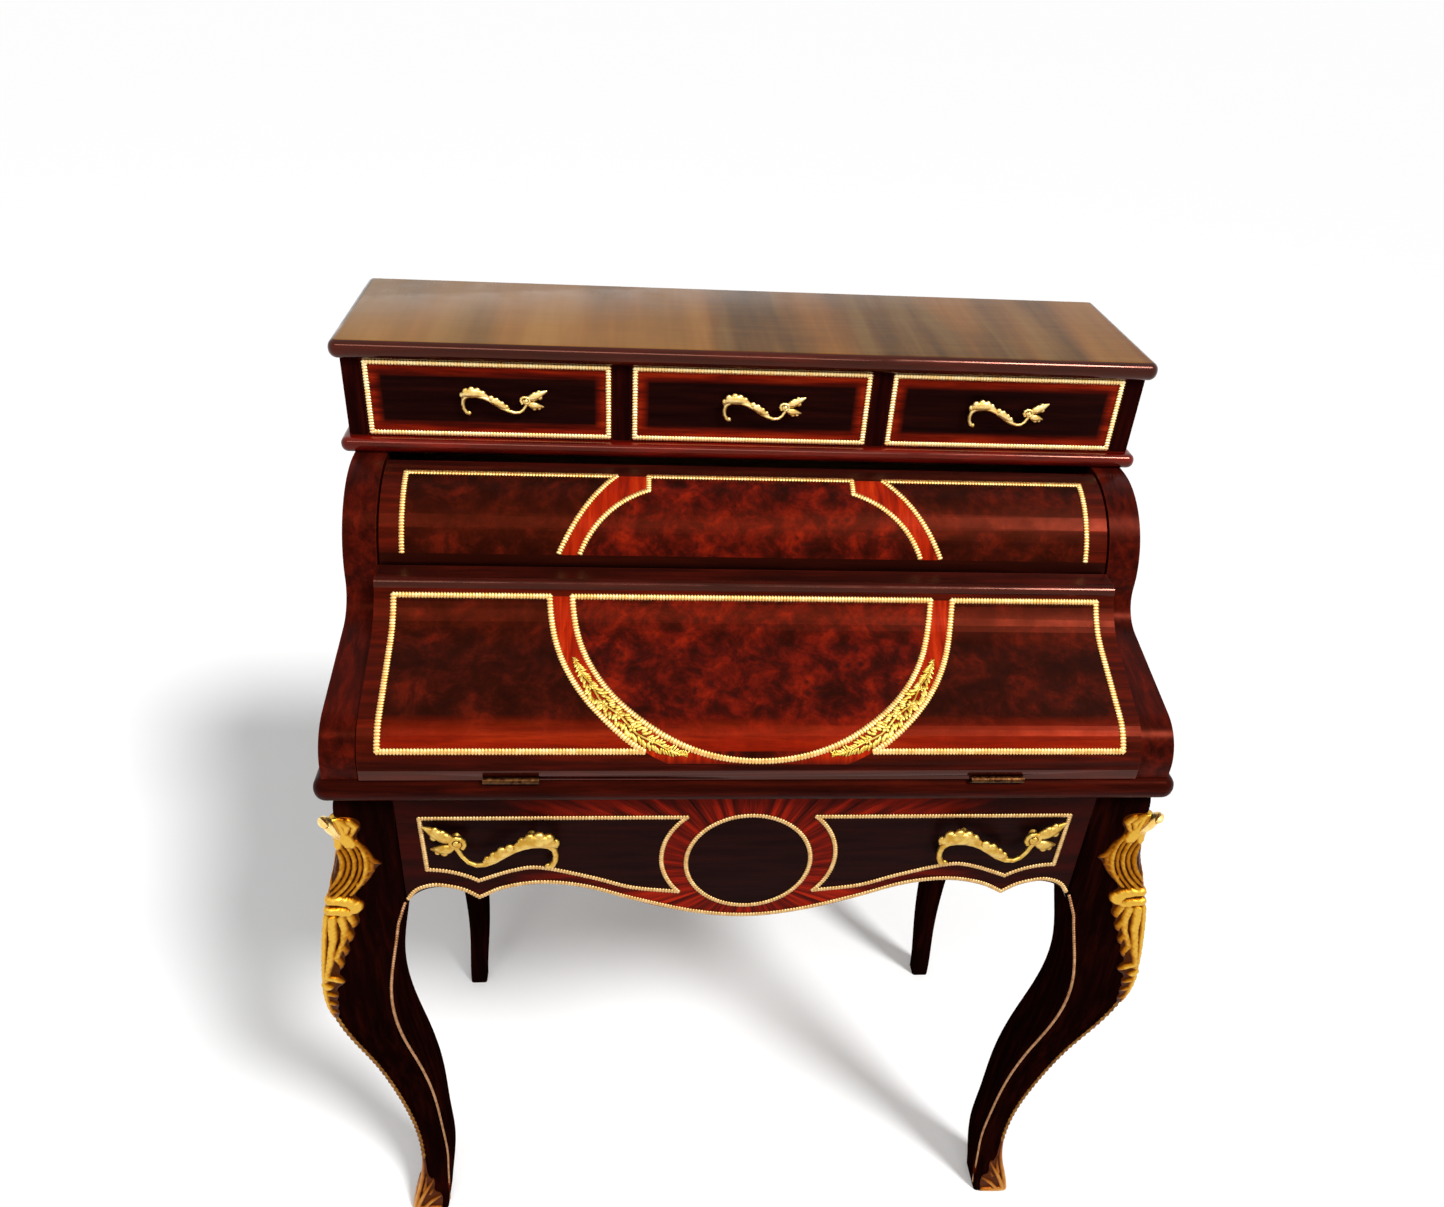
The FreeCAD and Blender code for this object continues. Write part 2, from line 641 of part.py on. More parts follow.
# Gilt stringing: low strands with bevelled edges, each run a list of points and outward directions
def strand_section(spot, heading):
    point, out = spot
    across = heading.cross(out).normalize()
    base = point + out * SEAT_GAP
    top = base + out * STRING_PROUD
    low = across * STRING_HALF
    high = across * (STRING_HALF - STRING_BEVEL)
    return Part.makePolygon([base - low, base + low, top + high, top - high, base - low])


def shortened(run):
    """Run that stops half a strand short at its start."""
    step = (run[1][0] - run[0][0]).normalize() * STRING_HALF
    return [(run[0][0] + step, run[0][1]), *run[1:]]


def strand(run):
    run = shortened(shortened(run)[::-1])[::-1]
    sections = []
    for index, spot in enumerate(run):
        ahead = run[min(index + 1, len(run) - 1)][0]
        behind = run[max(index - 1, 0)][0]
        sections.append(strand_section(spot, ahead - behind))
    return Part.makeLoft(sections, True, len(run) == 2)


def stringing(runs):
    """Strands through each run, with a round boss where runs meet."""
    corners = []
    for run in runs:
        for end in (run[0], run[-1]):
            if not any(end[0].isEqual(corner[0], FLAT) for corner in corners):
                corners.append(end)
    bosses = []
    for point, out in corners:
        bosses.append(Part.makeCylinder(STRING_HALF - FLAT, STRING_PROUD, point + out * SEAT_GAP, out))
    return Part.makeCompound([strand(run) for run in runs] + bosses)


def mirror_spots(run):
    return [(Vec(-point.x, point.y, point.z), out) for point, out in run]


def mirror_runs(runs):
    return runs + [mirror_spots(run) for run in runs]


def arc_shares(count):
    return [index / count for index in range(count + 1)]


def cylinder_arc(start, via, end):
    """Curve laid on the cylinder through three points of its unrolled face."""
    arc = curve_edge([Vec(*start), Vec(*via), Vec(*end)])
    flat = arc.discretize(ARC_POINTS)
    return [on_cylinder(p.x, p.y) for p in flat]


def cylinder_rise(x, low, high, count=RISE_POINTS):
    return [on_cylinder(x, low + (high - low) * share) for share in arc_shares(count)]


def cylinder_stringing():
    top = CYLINDER_FRAME_TOP
    tip = (CYLINDER_TIP_X, top)
    notch = (CYLINDER_FLAT_X, CYLINDER_NOTCH)
    runs = mirror_runs([
        [on_cylinder(CYLINDER_FRAME_X, top), on_cylinder(*tip)],
        cylinder_rise(CYLINDER_FRAME_X, top, CYLINDER_FRAME_END),
        cylinder_arc(tip, CYLINDER_OUTER_VIA, CYLINDER_OUTER_END),
        cylinder_rise(CYLINDER_FLAT_X, top, CYLINDER_NOTCH, NOTCH_POINTS),
        cylinder_arc(notch, CYLINDER_INNER_VIA, CYLINDER_INNER_END),
    ])
    runs.append([on_cylinder(-CYLINDER_FLAT_X, top), on_cylinder(CYLINDER_FLAT_X, top)])
    return stringing(runs)


def flap_ring(radius, start_deg, end_deg, count=FLAP_POINTS):
    points = []
    for share in arc_shares(count):
        across, down = polar((0, FLAP_RING_CENTRE), radius, start_deg + (end_deg - start_deg) * share)
        points.append(on_flap(across, down))
    return points


def ring_degrees(radius, down):
    return math.degrees(math.asin((down - FLAP_RING_CENTRE) / radius))


def flap_rise(x):
    span = FLAP_FRAME_LOW - FLAP_FRAME_TOP
    return [on_flap(x, FLAP_FRAME_TOP + span * share) for share in arc_shares(FLAP_POINTS)]


def flap_stringing():
    outer_high = ring_degrees(FLAP_RING_OUTER_R, FLAP_FRAME_TOP)
    outer_low = ring_degrees(FLAP_RING_OUTER_R, FLAP_FRAME_LOW)
    inner_high = ring_degrees(FLAP_RING_INNER_R, FLAP_FRAME_TOP)
    ring = flap_ring(FLAP_RING_OUTER_R, outer_high, outer_low)
    bowl = flap_ring(FLAP_RING_INNER_R, inner_high, 180 - inner_high, FLAP_POINTS + FLAP_POINTS)
    runs = mirror_runs([
        [on_flap(FLAP_FRAME_X, FLAP_FRAME_TOP), ring[0]],
        ring,
        [ring[-1], on_flap(FLAP_FRAME_X, FLAP_FRAME_LOW)],
        flap_rise(FLAP_FRAME_X),
    ])
    runs.append(bowl)
    runs.append([bowl[0], bowl[-1]])
    return stringing(runs)


def flap_mount():
    """Foliage crescent between the two rings, as a thin skin on the flap."""
    ground = flap_solid()
    direction = Vec(0, *polar((0, 0), 1, FLAP_SLOPE_DEG + 90))
    level = on_flap(0, 0)[0]
    root_deg = 90 - FOLIAGE_ROOT_DEG
    end_deg = 90 - FOLIAGE_END_DEG

    def rim(radius):
        points = [spot[0] for spot in flap_ring(radius, root_deg, end_deg, RISE_POINTS)]
        return [point + direction * direction.dot(level - point) for point in points]

    middle = rim((FOLIAGE_OUTER_R + FOLIAGE_INNER_R) / 2)
    outer = rim(FOLIAGE_OUTER_R)[1:-1]
    inner = rim(FOLIAGE_INNER_R)[1:-1]
    edges = [
        curve_edge([middle[0], *outer, middle[-1]]),
        curve_edge([middle[-1], *reversed(inner), middle[0]]),
    ]
    tool = Part.Face(Part.Wire(edges)).extrude(direction * -LID_HALF_X)
    return flap_solid(FOLIAGE_THICK).cut(ground).common(tool)


def on_frieze(x, drop):
    """Point and outward direction of an outline on the front of the frieze drawer."""
    stretch = FRIEZE_HALF_X / FRIEZE_DRAWN_HALF_X
    return Vec(x * stretch, FRIEZE_FRONT_Y, DESK_UNDER_Z - drop), Vec(0, -1, 0)


def frieze_stringing():
    panel = [on_frieze(*p) for p in (FRIEZE_PANEL_TIP, FRIEZE_PANEL_WAIST, FRIEZE_PANEL_FOOT)]
    top_corner = on_frieze(FRIEZE_PANEL_X, FRIEZE_PANEL_TOP_DROP)
    low_corner = on_frieze(FRIEZE_PANEL_LOW_X, FRIEZE_PANEL_LOW_DROP)
    edge_end = (SCALLOP_END[0][0] - FRIEZE_EDGE_MARGIN, SCALLOP_END[0][1])
    runs = mirror_runs([
        [top_corner, panel[0]],
        panel,
        [on_frieze(*p) for p in FRIEZE_LOW_CURVE],
        [on_frieze(*p) for p in FRIEZE_END_CURVE],
        [low_corner, top_corner],
        [on_frieze(*p) for p in [edge_end, *SCALLOP_END[1:]]],
    ])
    middle = [on_frieze(*p) for p in SCALLOP_MID]
    runs.append(middle + mirror_spots(middle[-2::-1]))
    centre, out = on_frieze(0, RONDEL_DROP)
    centre += out * SEAT_GAP
    rondel = Part.makeCylinder(RONDEL_R + STRING_HALF, STRING_PROUD, centre, out)
    rondel = rondel.cut(Part.makeCylinder(RONDEL_R - STRING_HALF, STRING_PROUD, centre, out))
    return Part.makeCompound([*stringing(runs).Solids, rondel])


def top_stringing(x_span):
    low_x = x_span[0] + TOP_FRAME_INSET
    high_x = x_span[1] - TOP_FRAME_INSET
    low_z = CASE_LOW_Z + SLIDE_GAP + TOP_FRAME_INSET
    high_z = TOP_UNDER_Z - SLIDE_GAP - TOP_FRAME_INSET
    turn = [(low_x, low_z), (high_x, low_z), (high_x, high_z), (low_x, high_z), (low_x, low_z)]
    corners = [(Vec(x, CASE_FRONT_Y, z), Vec(0, -1, 0)) for x, z in turn]
    return stringing([list(pair) for pair in zip(corners, corners[1:])])


# Cast pulls
def pull_point(shares, centre, size):
    return Vec(
        centre.x + shares[0] * size[0],
        centre.y - shares[1] * size[1],
        centre.z + shares[2] * size[2])


def pull_limb(path, swell, centre, size, radius):
    """Tapered limb lofted through rings along a curved path."""
    points = [pull_point(shares, centre, size) for shares in path]
    ends = [points[0] * 2 - points[1], *points, points[-1] * 2 - points[-2]]
    rings = []
    for index, (point, share) in enumerate(zip(points, swell)):
        heading = ends[index + 2] - ends[index]
        rings.append(Part.Wire(Part.makeCircle(radius * share, point, heading)))
    return Part.makeLoft(rings, True)


def pull(centre, length, height, reach, radius):
    """Bowed leaf pull: curled head, bow, forked leaf and two posts."""
    size = (length, reach, height)
    body = pull_limb(PULL_PATH_SHARES, PULL_PATH_SWELL_SHARES, centre, size, radius)
    body = body.fuse(pull_limb(PULL_PRONG_SHARES, PULL_PRONG_SWELL_SHARES, centre, size, radius))
    for shares in PULL_POST_SHARES:
        head = pull_point(shares, centre, size)
        body = body.fuse(Part.makeCylinder(radius, centre.y - head.y, head, Vec(0, 1, 0)))
    return body


# Drawers
def drawer_box(x_span, y_span, z_span, thick, bottom_thick):
    """Two sides and a back, grooved for the bottom, and the bottom itself."""
    bottom_low = z_span[0] + BOTTOM_LIFT
    inner = (x_span[0] + thick, x_span[1] - thick)
    bottom = block(
        (inner[0] - GROOVE_DEPTH, inner[1] + GROOVE_DEPTH), (y_span[0], y_span[1] - thick + GROOVE_DEPTH),
        (bottom_low, bottom_low + bottom_thick))
    left = block((x_span[0], inner[0]), y_span, z_span).cut(bottom)
    right = block((inner[1], x_span[1]), y_span, z_span).cut(bottom)
    back = block(inner, (y_span[1] - thick, y_span[1]), z_span).cut(bottom)
    return [left, right, back], bottom


def top_drawer(index, name):
    left = bay_left(index)
    x_span = (left + SLIDE_GAP, left + BAY_WIDTH - SLIDE_GAP)
    z_span = (CASE_LOW_Z + SLIDE_GAP, TOP_UNDER_Z - SLIDE_GAP)
    front_back = CASE_FRONT_Y + TOP_FRONT_THICK
    front = block(x_span, (CASE_FRONT_Y, front_back), z_span)
    box_low = CASE_LOW_Z + TOP_BOX_LIFT
    sides, bottom = drawer_box(
        x_span, (front_back, CASE_BACK_Y - TOP_BACK_GAP), (box_low, box_low + TOP_BOX_HEIGHT),
        TOP_BOX_THICK, TOP_BOTTOM_THICK)
    centre = Vec(left + BAY_WIDTH / 2 + TOP_PULL_OFFSETS[index], CASE_FRONT_Y, CASE_LOW_Z + TOP_PULL_RISE)
    save(name + "_front", front)
    save(name + "_sides", *sides)
    save(name + "_bottom", bottom)
    save(name + "_pull", pull(centre, TOP_PULL_LENGTH, TOP_PULL_HEIGHT, TOP_PULL_REACH, TOP_PULL_ROD_R))
    save(name + "_frame", top_stringing(x_span))


def frieze_front():
    """Front with a scalloped lower edge of two cusps and a dropped centre."""
    end = [(x, drop + FRIEZE_EDGE_MARGIN) for x, drop in SCALLOP_END]
    middle = [(x, drop + FRIEZE_EDGE_MARGIN) for x, drop in SCALLOP_MID]
    other_end = [(-x, drop) for x, drop in reversed(end)]
    whole_middle = middle + [(-x, drop) for x, drop in reversed(middle[:-1])]
    start = (FRIEZE_DRAWN_HALF_X, SLIDE_GAP)
    steps = [[end[0]], end[1:], whole_middle[1:], other_end[1:], [(-start[0], start[1])], [start]]
    wire = outline(start, steps, lambda x, drop: on_frieze(x, drop)[0])
    return Part.Face(wire).extrude(Vec(0, FRIEZE_FRONT_THICK, 0))


def frieze_drawer():
    front = frieze_front()
    y_low = FRIEZE_FRONT_Y + FRIEZE_FRONT_THICK
    sides, bottom = drawer_box(
        (-FRIEZE_BOX_HALF_X, FRIEZE_BOX_HALF_X), (y_low, FRIEZE_BOX_BACK_Y),
        (FRIEZE_BOX_Z, FRIEZE_BOX_Z + FRIEZE_BOX_HEIGHT), FRIEZE_BOX_THICK, FRIEZE_BOTTOM_THICK)
    centre = on_frieze(FRIEZE_PULL_X, FRIEZE_PULL_DROP)[0]
    cast = pull(centre, FRIEZE_PULL_LENGTH, FRIEZE_PULL_HEIGHT, FRIEZE_PULL_REACH, FRIEZE_PULL_ROD_R)
    save("frieze_front", front)
    save("frieze_sides", *sides)
    save("frieze_bottom", bottom)
    save_pair("frieze_pull", cast)
    save("frieze_stringing", frieze_stringing())


# Stand
def drawer_runner():
    """Ledge under the drawer side with a guide beside it."""
    y_span = (LEG_REAR_Y, REAR_BACK_Y - LEG_BLOCK)
    outer = APRON_OUTER_X - APRON_THICK
    top = FRIEZE_BOX_Z - TOP_BOX_LIFT
    ledge = block((FRIEZE_BOX_HALF_X - RUNNER_LAP, outer), y_span, (top - RUNNER_THICK, top))
    guide_x = FRIEZE_BOX_HALF_X + SLIDE_GAP
    guide = block((guide_x, guide_x + RUNNER_GUIDE_THICK), y_span, (top, top + RUNNER_GUIDE_HEIGHT))
    return ledge.fuse(guide).removeSplitter()


def side_apron():
    low_y = LEG_REAR_Y
    span = REAR_BACK_Y - LEG_BLOCK - low_y

    def at(share):
        return low_y + span * share

    end_z = DESK_UNDER_Z - APRON_END_DROP
    cusp_z = DESK_UNDER_Z - APRON_CUSP_DROP
    hump_z = DESK_UNDER_Z - APRON_HUMP_DROP
    edge = [
        [(at(0), end_z)],
        [(at(APRON_CUSP_SHARE / 2), hump_z), (at(APRON_CUSP_SHARE), cusp_z)],
        [
            (at(APRON_HUMP_SHARE), hump_z),
            (low_y + span / 2, DESK_UNDER_Z - APRON_MID_DROP),
            (at(1 - APRON_HUMP_SHARE), hump_z),
            (at(1 - APRON_CUSP_SHARE), cusp_z),
        ],
        [(at(1 - APRON_CUSP_SHARE / 2), hump_z), (at(1), end_z)],
    ]
    start = (at(0), DESK_UNDER_Z)
    steps = edge + [[(at(1), DESK_UNDER_Z)], [start]]
    return prism_x(start, steps, APRON_OUTER_X - APRON_THICK, APRON_OUTER_X)


def back_rail():
    y_span = (REAR_BACK_Y - BACK_RAIL_THICK, REAR_BACK_Y)
    return block((-LEG_INNER_X, LEG_INNER_X), y_span, (DESK_UNDER_Z - BACK_RAIL_HEIGHT, DESK_UNDER_Z))


def rounded_section(corners, radius):
    """Closed wire through the corners, each eased by an arc."""
    edges = []
    arcs = []
    count = len(corners)
    for index, corner in enumerate(corners):
        back = (corners[index - 1] - corner).normalize()
        ahead = (corners[(index + 1) % count] - corner).normalize()
        half_angle = back.getAngle(ahead) / 2
        reach = radius / math.tan(half_angle)
        first = corner + back * reach
        last = corner + ahead * reach
        middle = corner + ((first + last) / 2 - corner) / (1 + math.sin(half_angle))
        arcs.append((first, middle, last))
    for index, arc in enumerate(arcs):
        edges.append(Part.Arc(*arc).toShape())
        edges.append(Part.makeLine(arc[-1], arcs[(index + 1) % count][0]))
    return Part.Wire(edges)


def leg_stations():
    return [(share * DESK_UNDER_Z, *sizes) for share, sizes in zip(LEG_HEIGHT_SHARES, LEG_STATIONS)]


def leg_corners(station, grow=0.0):
    """Outer, front inner, rear inner and side corners of the leg at one height."""
    z, swell, face, inset = station
    out = swell + grow
    flank = face + grow
    inner = -inset - grow
    local = [(out, out), (inner, flank), (inner, inner), (flank, inner)]
    return [Vec(LEG_X + a, -LEG_Y - b, z) for a, b in local]


def front_leg(stations, grow=0.0):
    sections = [rounded_section(leg_corners(station, grow), LEG_ROUND + grow) for station in stations]
    return Part.makeLoft(sections, True)


def squared(leg, y_span):
    """Leg with the inner faces of its upper block cut flat, for the rails that meet them."""
    z_span = (DESK_UNDER_Z - LEG_BLOCK_DROP, DESK_UNDER_Z + OVERRUN)
    beside = block((LEG_INNER_X - LEG_BLOCK, LEG_INNER_X), (-TOP_Z, TOP_Z), z_span)
    behind = block((0, TOP_Z), y_span, z_span)
    return leg.cut(beside).cut(behind)


def rear_leg():
    sections = []
    for share, (side, back, thick) in zip(REAR_HEIGHT_SHARES, REAR_STATIONS):
        x = LEG_X - side
        y = REAR_BACK_Y - back
        z = share * DESK_UNDER_Z
        half = thick / 2
        corners = [Vec(x + a * half, y + b * half, z) for a, b in ((1, 1), (-1, 1), (-1, -1), (1, -1))]
        sections.append(rounded_section(corners, LEG_ROUND))
    return Part.makeLoft(sections, True)


def knee_mount(leg):
    """Skin over the outer corner of the knee, cut to the outline of the mount."""
    depth = LEG_BLOCK
    across = Vec(1, 1, 0).normalize()
    outward = Vec(1, -1, 0).normalize()
    corner = Vec(LEG_X, -LEG_Y, 0) - outward * depth
    half_turn = math.sin(math.radians(45))

    def place(side, drop):
        return corner + across * (side * half_turn) + Vec(0, 0, DESK_UNDER_Z - drop)

    right = [[(wide, drop) for drop, wide in part] for part in (KNEE_HEAD, KNEE_BODY, KNEE_TAIL)]
    left = [[(-wide, drop) for wide, drop in reversed(part)] for part in reversed(right)]
    steps = [part[1:] for part in right] + [[left[0][0]]] + [part[1:] for part in left] + [[right[0][0]]]
    tool = Part.Face(outline(right[0][0], steps, place)).extrude(outward * (depth + depth + depth))
    skin = leg.translated(Vec(KNEE_MOUNT_THICK, -KNEE_MOUNT_THICK, 0)).cut(leg)
    return skin.common(tool)


def sabot(leg):
    """Foot casing, cut off by a slope that leaves a point on the outer corner."""
    stations = [station for station in leg_stations() if station[0] < SABOT_LOFT_Z]
    shell = front_leg(stations, SABOT_THICK).cut(leg)
    reach = SABOT_LOFT_Z
    peak = leg_corners(stations[0])[0]
    lid = Part.makeBox(reach, reach, reach, peak - Vec(reach / 2, reach / 2, peak.z - SABOT_CORNER_Z))
    lid.rotate(Vec(peak.x, peak.y, SABOT_CORNER_Z), Vec(1, 1, 0), -SABOT_TILT_DEG)
    return shell.cut(lid)


def leg_string_section(station):
    """Flat section lying on the front face of the leg beside its inner edge."""
    outer, inner = leg_corners(station)[:2]
    along = (outer - inner).normalize()
    out = Vec(along.y, -along.x, 0)
    return strand_section((inner + along * LEG_STRING_INSET, out), Vec(0, 0, 1))


def leg_stringing():
    band = Part.makeLoft([leg_string_section(station) for station in leg_stations()], True)
    keep = block((0, TOP_Z), (-TOP_Z, 0), (LEG_STRING_LOW_Z, DESK_UNDER_Z - LEG_STRING_TOP_DROP))
    return band.common(keep)


# Build and save every piece
save("top_board", top_board())
save("case_floor", case_floor())
save_pair("case_side", case_side())
save("case_dividers", *[case_divider(index) for index in range(TOP_DRAWER_COUNT - 1)])
save("back_panel", back_panel())
save_pair("cheek", cheek())
save("desk_top", desk_top())
save("nest_shelf", nest_shelf())
save("nest_dividers", nest_divider(), mirror_x(nest_divider()))
save("cylinder_pivots", cylinder_pivot(), mirror_x(cylinder_pivot()))
save("cylinder_stops", cylinder_stop(), mirror_x(cylinder_stop()))

save("cylinder_panel", cylinder_panel())
save_pair("cylinder_arm", cylinder_arm())
save("cylinder_stringing", cylinder_stringing())

save("flap_panel", flap_panel())
save("flap_leather", flap_leather())
save("flap_stringing", flap_stringing())
save_pair("flap_mount", flap_mount())
save("hinge_fixed_leaves", hinge_fixed(-1), hinge_fixed(1))
save("hinge_moving_leaves", hinge_moving(-1), hinge_moving(1))
save("hinge_pins", hinge_pin(-1), hinge_pin(1))

for index, name in enumerate(("drawer_left", "drawer_centre", "drawer_right")):
    top_drawer(index, name)
frieze_drawer()

leg = squared(front_leg(leg_stations()), (LEG_REAR_Y, 0))
save_pair("leg_front", leg)
save_pair("leg_rear", squared(rear_leg(), (0, REAR_BACK_Y - LEG_BLOCK)))
save_pair("knee_mount", knee_mount(leg))
save_pair("sabot", sabot(leg))
string_right = leg_stringing()
save("leg_stringing", string_right, mirror_x(string_right))
save_pair("side_apron", side_apron())
save("back_rail", back_rail())
save("drawer_runners", drawer_runner(), mirror_x(drawer_runner()))
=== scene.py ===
import bmesh
import bpy
import json
import math
import random
from mathutils import Matrix, Vector
from mathutils.bvhtree import BVHTree


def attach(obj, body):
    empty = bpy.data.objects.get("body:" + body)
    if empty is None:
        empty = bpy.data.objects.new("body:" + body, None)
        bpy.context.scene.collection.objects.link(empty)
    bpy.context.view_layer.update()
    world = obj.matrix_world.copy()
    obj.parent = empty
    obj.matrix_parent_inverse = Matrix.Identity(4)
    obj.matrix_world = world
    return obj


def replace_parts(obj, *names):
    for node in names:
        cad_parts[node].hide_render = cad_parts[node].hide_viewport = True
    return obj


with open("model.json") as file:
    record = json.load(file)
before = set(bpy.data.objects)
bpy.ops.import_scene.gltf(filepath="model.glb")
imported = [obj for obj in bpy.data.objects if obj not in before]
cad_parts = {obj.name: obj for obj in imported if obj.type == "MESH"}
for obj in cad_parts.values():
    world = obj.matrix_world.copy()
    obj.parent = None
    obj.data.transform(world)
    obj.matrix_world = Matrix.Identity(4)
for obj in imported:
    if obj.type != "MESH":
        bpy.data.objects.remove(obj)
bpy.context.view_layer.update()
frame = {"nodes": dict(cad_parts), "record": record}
solids = frame["nodes"]
body_of = {node: body for body, members in frame["record"]["behaviour"]["bodies"].items() for node in members}
MM = 0.001
SQUARE = math.pi / 2

# Places shared with the solids, in millimetres; a frame is its half width, top and foot
CYLINDER_AXIS = (40.0, 902.0)
CYLINDER_R = 92.0
CYLINDER_FRAME = (361.0, 25.0, 128.0)
CYLINDER_RAIL = 116.0
CYLINDER_OUTER = ((143.0, 25.0), (184.0, 80.0), (207.0, 128.0))
CYLINDER_INNER = ((109.0, 44.0), (147.0, 67.0), (184.0, 128.0))
FLAP_ROLL = (-183.5, 797.0)
FLAP_ROLL_R = 48.0
FLAP_HOLLOW_R = 80.0
FLAP_HOLLOW_Y = -128.0
FLAP_SLOPE = math.radians(22)
FLAP_LIP = math.radians(-25)
FLAP_FRAME = (364.5, 7.0, 175.0)
FLAP_RINGS = (186.0, 209.0)
FLAP_RING_CENTRE = -1.0
# Painted highlight over the roll and painted shade at the foot, as distances along the flap
FLAP_ROLL_HIGHLIGHT = (138.0, 168.0)
FLAP_FOOT_SHADE = (180.0, 192.0)
FLAP_FOOT = 188.0
FOLIAGE_SPAN = (math.radians(22.5), math.radians(68.5))
FRIEZE_Y = -216.0
FRIEZE_TOP = [(336.0, 721.0), (67.0, 721.0)]
FRIEZE_BACK = [(67.0, 721.0), (92.0, 665.0), (73.0, 613.0)]
FRIEZE_LOW = [(73.0, 613.0), (122.0, 620.0), (163.0, 635.0), (216.0, 650.5), (245.0, 647.5), (282.5, 632.5)]
FRIEZE_END = [(282.5, 632.5), (308.0, 645.0), (334.0, 649.0)]
FRIEZE_SIDE = [(334.0, 649.0), (336.0, 721.0)]
SCALLOP_END = [(357.6, 606.5), (349.0, 618.5), (337.0, 625.0), (323.0, 626.5), (300.0, 620.0), (283.0, 608.0)]
SCALLOP_MID = [
    (283.0, 608.0), (256.0, 622.5), (217.0, 629.5), (172.0, 623.0),
    (122.0, 604.0), (58.0, 583.5), (0.0, 576.0),
]
RONDEL_Z = 657.0
RONDEL_R = 66.0
FAN_Z = RONDEL_Z - 20
FAN_FADE = (100.0, 260.0)
DRAWER_Y = 58.0
DRAWER_PITCH = 276.667
DRAWER_HALF = 127.33
DRAWER_MIDDLE_Z = 1055.0
DRAWER_HALF_Z = 42.0
DRAWER_FRAME_INSET = 3.0
CROSSBAND = 18.0
CROSSBAND_FADE = 9.0
DRAWERS = ("drawer_left", "drawer_centre", "drawer_right")
DRAWER_PULL_X = (-259.67, 14.0, 280.67)
DRAWER_PULL_Z = 1057.0
FRIEZE_PULL = (267.0, 686.0)
LEG_CORNER = (413.0, -218.0)
LEG_TOP_Z = 758.0
LEG_LINE_JOINT = [(360.6, -219.9, 603.5), (362.8, -221.6, 597.5), (365.6, -224.8, 589.0)]
LEG_LINE_FOOT = 60
CHAIN_TOP_Z, CHAIN_LOW_Z = 456, 92
CHAIN_PITCH = 5.6
FRONT = Vector((0, -1, 0))


# Colour and nodes
def srgb(code):
    """Linear colour of an sRGB hex value."""
    parts = [int(code[at:at + 2], 16) / 255 for at in (1, 3, 5)]
    return tuple(v / 12.92 if v <= 0.04045 else ((v + 0.055) / 1.055) ** 2.4 for v in parts) + (1.0,)


def fed(node, inputs):
    """Feeds a node's sockets with values, sockets or the output of other nodes."""
    for key, value in inputs.items():
        if isinstance(value, bpy.types.Node):
            value = next(socket for socket in value.outputs if socket.enabled)
        if isinstance(value, bpy.types.NodeSocket):
            node.id_data.links.new(value, node.inputs[key])
        else:
            node.inputs[key].default_value = value
    return node


def add(tree, kind, inputs=None, stops=(), **settings):
    """A node with its settings and what feeds it; stops colour a ramp."""
    made = tree.nodes.new("ShaderNode" + kind)
    for name, value in settings.items():
        setattr(made, name, value)
    for index, (place, code) in enumerate(stops):
        band = made.color_ramp.elements
        stop = band[index] if index < 2 else band.new(place)
        stop.position = place
        stop.color = srgb(code)
    return fed(made, inputs or {})


def finish_of(name, roughness, specular=0.5, tint="#ffffff", metallic=0.0):
    """New material, its tree and its shader with the values that are the same all over."""
    material = bpy.data.materials.new(name)
    material.use_nodes = True
    shader = fed(material.node_tree.nodes["Principled BSDF"], {
        "Roughness": roughness, "Metallic": metallic,
        "Specular IOR Level": specular, "Specular Tint": srgb(tint)})
    return material, material.node_tree, shader


def straight_grain(tree, place, along, band_mm, stops):
    """Straight grain of mahogany or oak: long growth bands with fine dark pores drawn out along them."""
    stretch = [1 / (band_mm * MM)] * 3
    stretch["XYZ".index(along)] = 1 / (band_mm * 14 * MM)
    laid = add(tree, "Mapping", {"Vector": place, "Scale": stretch})
    bands = add(tree, "TexNoise", {
        "Vector": laid, "Scale": 1.0, "Detail": 4.0, "Roughness": 0.6, "Distortion": 0.4})
    colour = add(tree, "ValToRGB", {"Fac": bands}, stops)
    # Pores are about 0.3 mm wide and drawn three times as wide to show
    fine = [1 / (0.9 * MM)] * 3
    fine["XYZ".index(along)] = 1 / (16 * MM)
    drawn = add(tree, "Mapping", {"Vector": place, "Scale": fine})
    pores = add(tree, "TexNoise", {"Vector": drawn, "Scale": 1.0, "Detail": 2.0})
    depth = add(tree, "MapRange", {"Value": pores, "From Min": 0.5, "From Max": 0.72, "To Max": 0.35})
    return add(tree, "Mix", {0: depth, 6: colour, 7: srgb("#120404")}, data_type="RGBA")


def burl(tree, place, cloud_mm, stops):
    """Burl mahogany: soft blotches of figure with clusters of small dark eyes."""
    laid = add(tree, "Mapping", {"Vector": place, "Scale": [1 / (cloud_mm * MM)] * 3})
    clouds = add(tree, "TexNoise", {
        "Vector": laid, "Scale": 1.0, "Detail": 7.0, "Roughness": 0.68, "Distortion": 0.3})
    colour = add(tree, "ValToRGB", {"Fac": clouds}, stops)
    strayed = add(tree, "VectorMath", {0: laid, 1: clouds.outputs["Color"]}, operation="ADD")
    eyes = add(tree, "TexVoronoi", {"Vector": strayed, "Scale": 3.2})
    pips = add(tree, "MapRange", {
        "Value": eyes, "From Min": 0.1, "From Max": 0.5, "To Min": 0.85, "To Max": 0.0})
    herds = add(tree, "TexNoise", {"Vector": laid, "Scale": 0.7, "Detail": 1.0})
    where = add(tree, "MapRange", {"Value": herds, "From Min": 0.42, "From Max": 0.6})
    share = add(tree, "Math", {0: pips, 1: where}, operation="MULTIPLY")
    return add(tree, "Mix", {0: share, 6: colour, 7: srgb("#1a0605")}, data_type="RGBA")


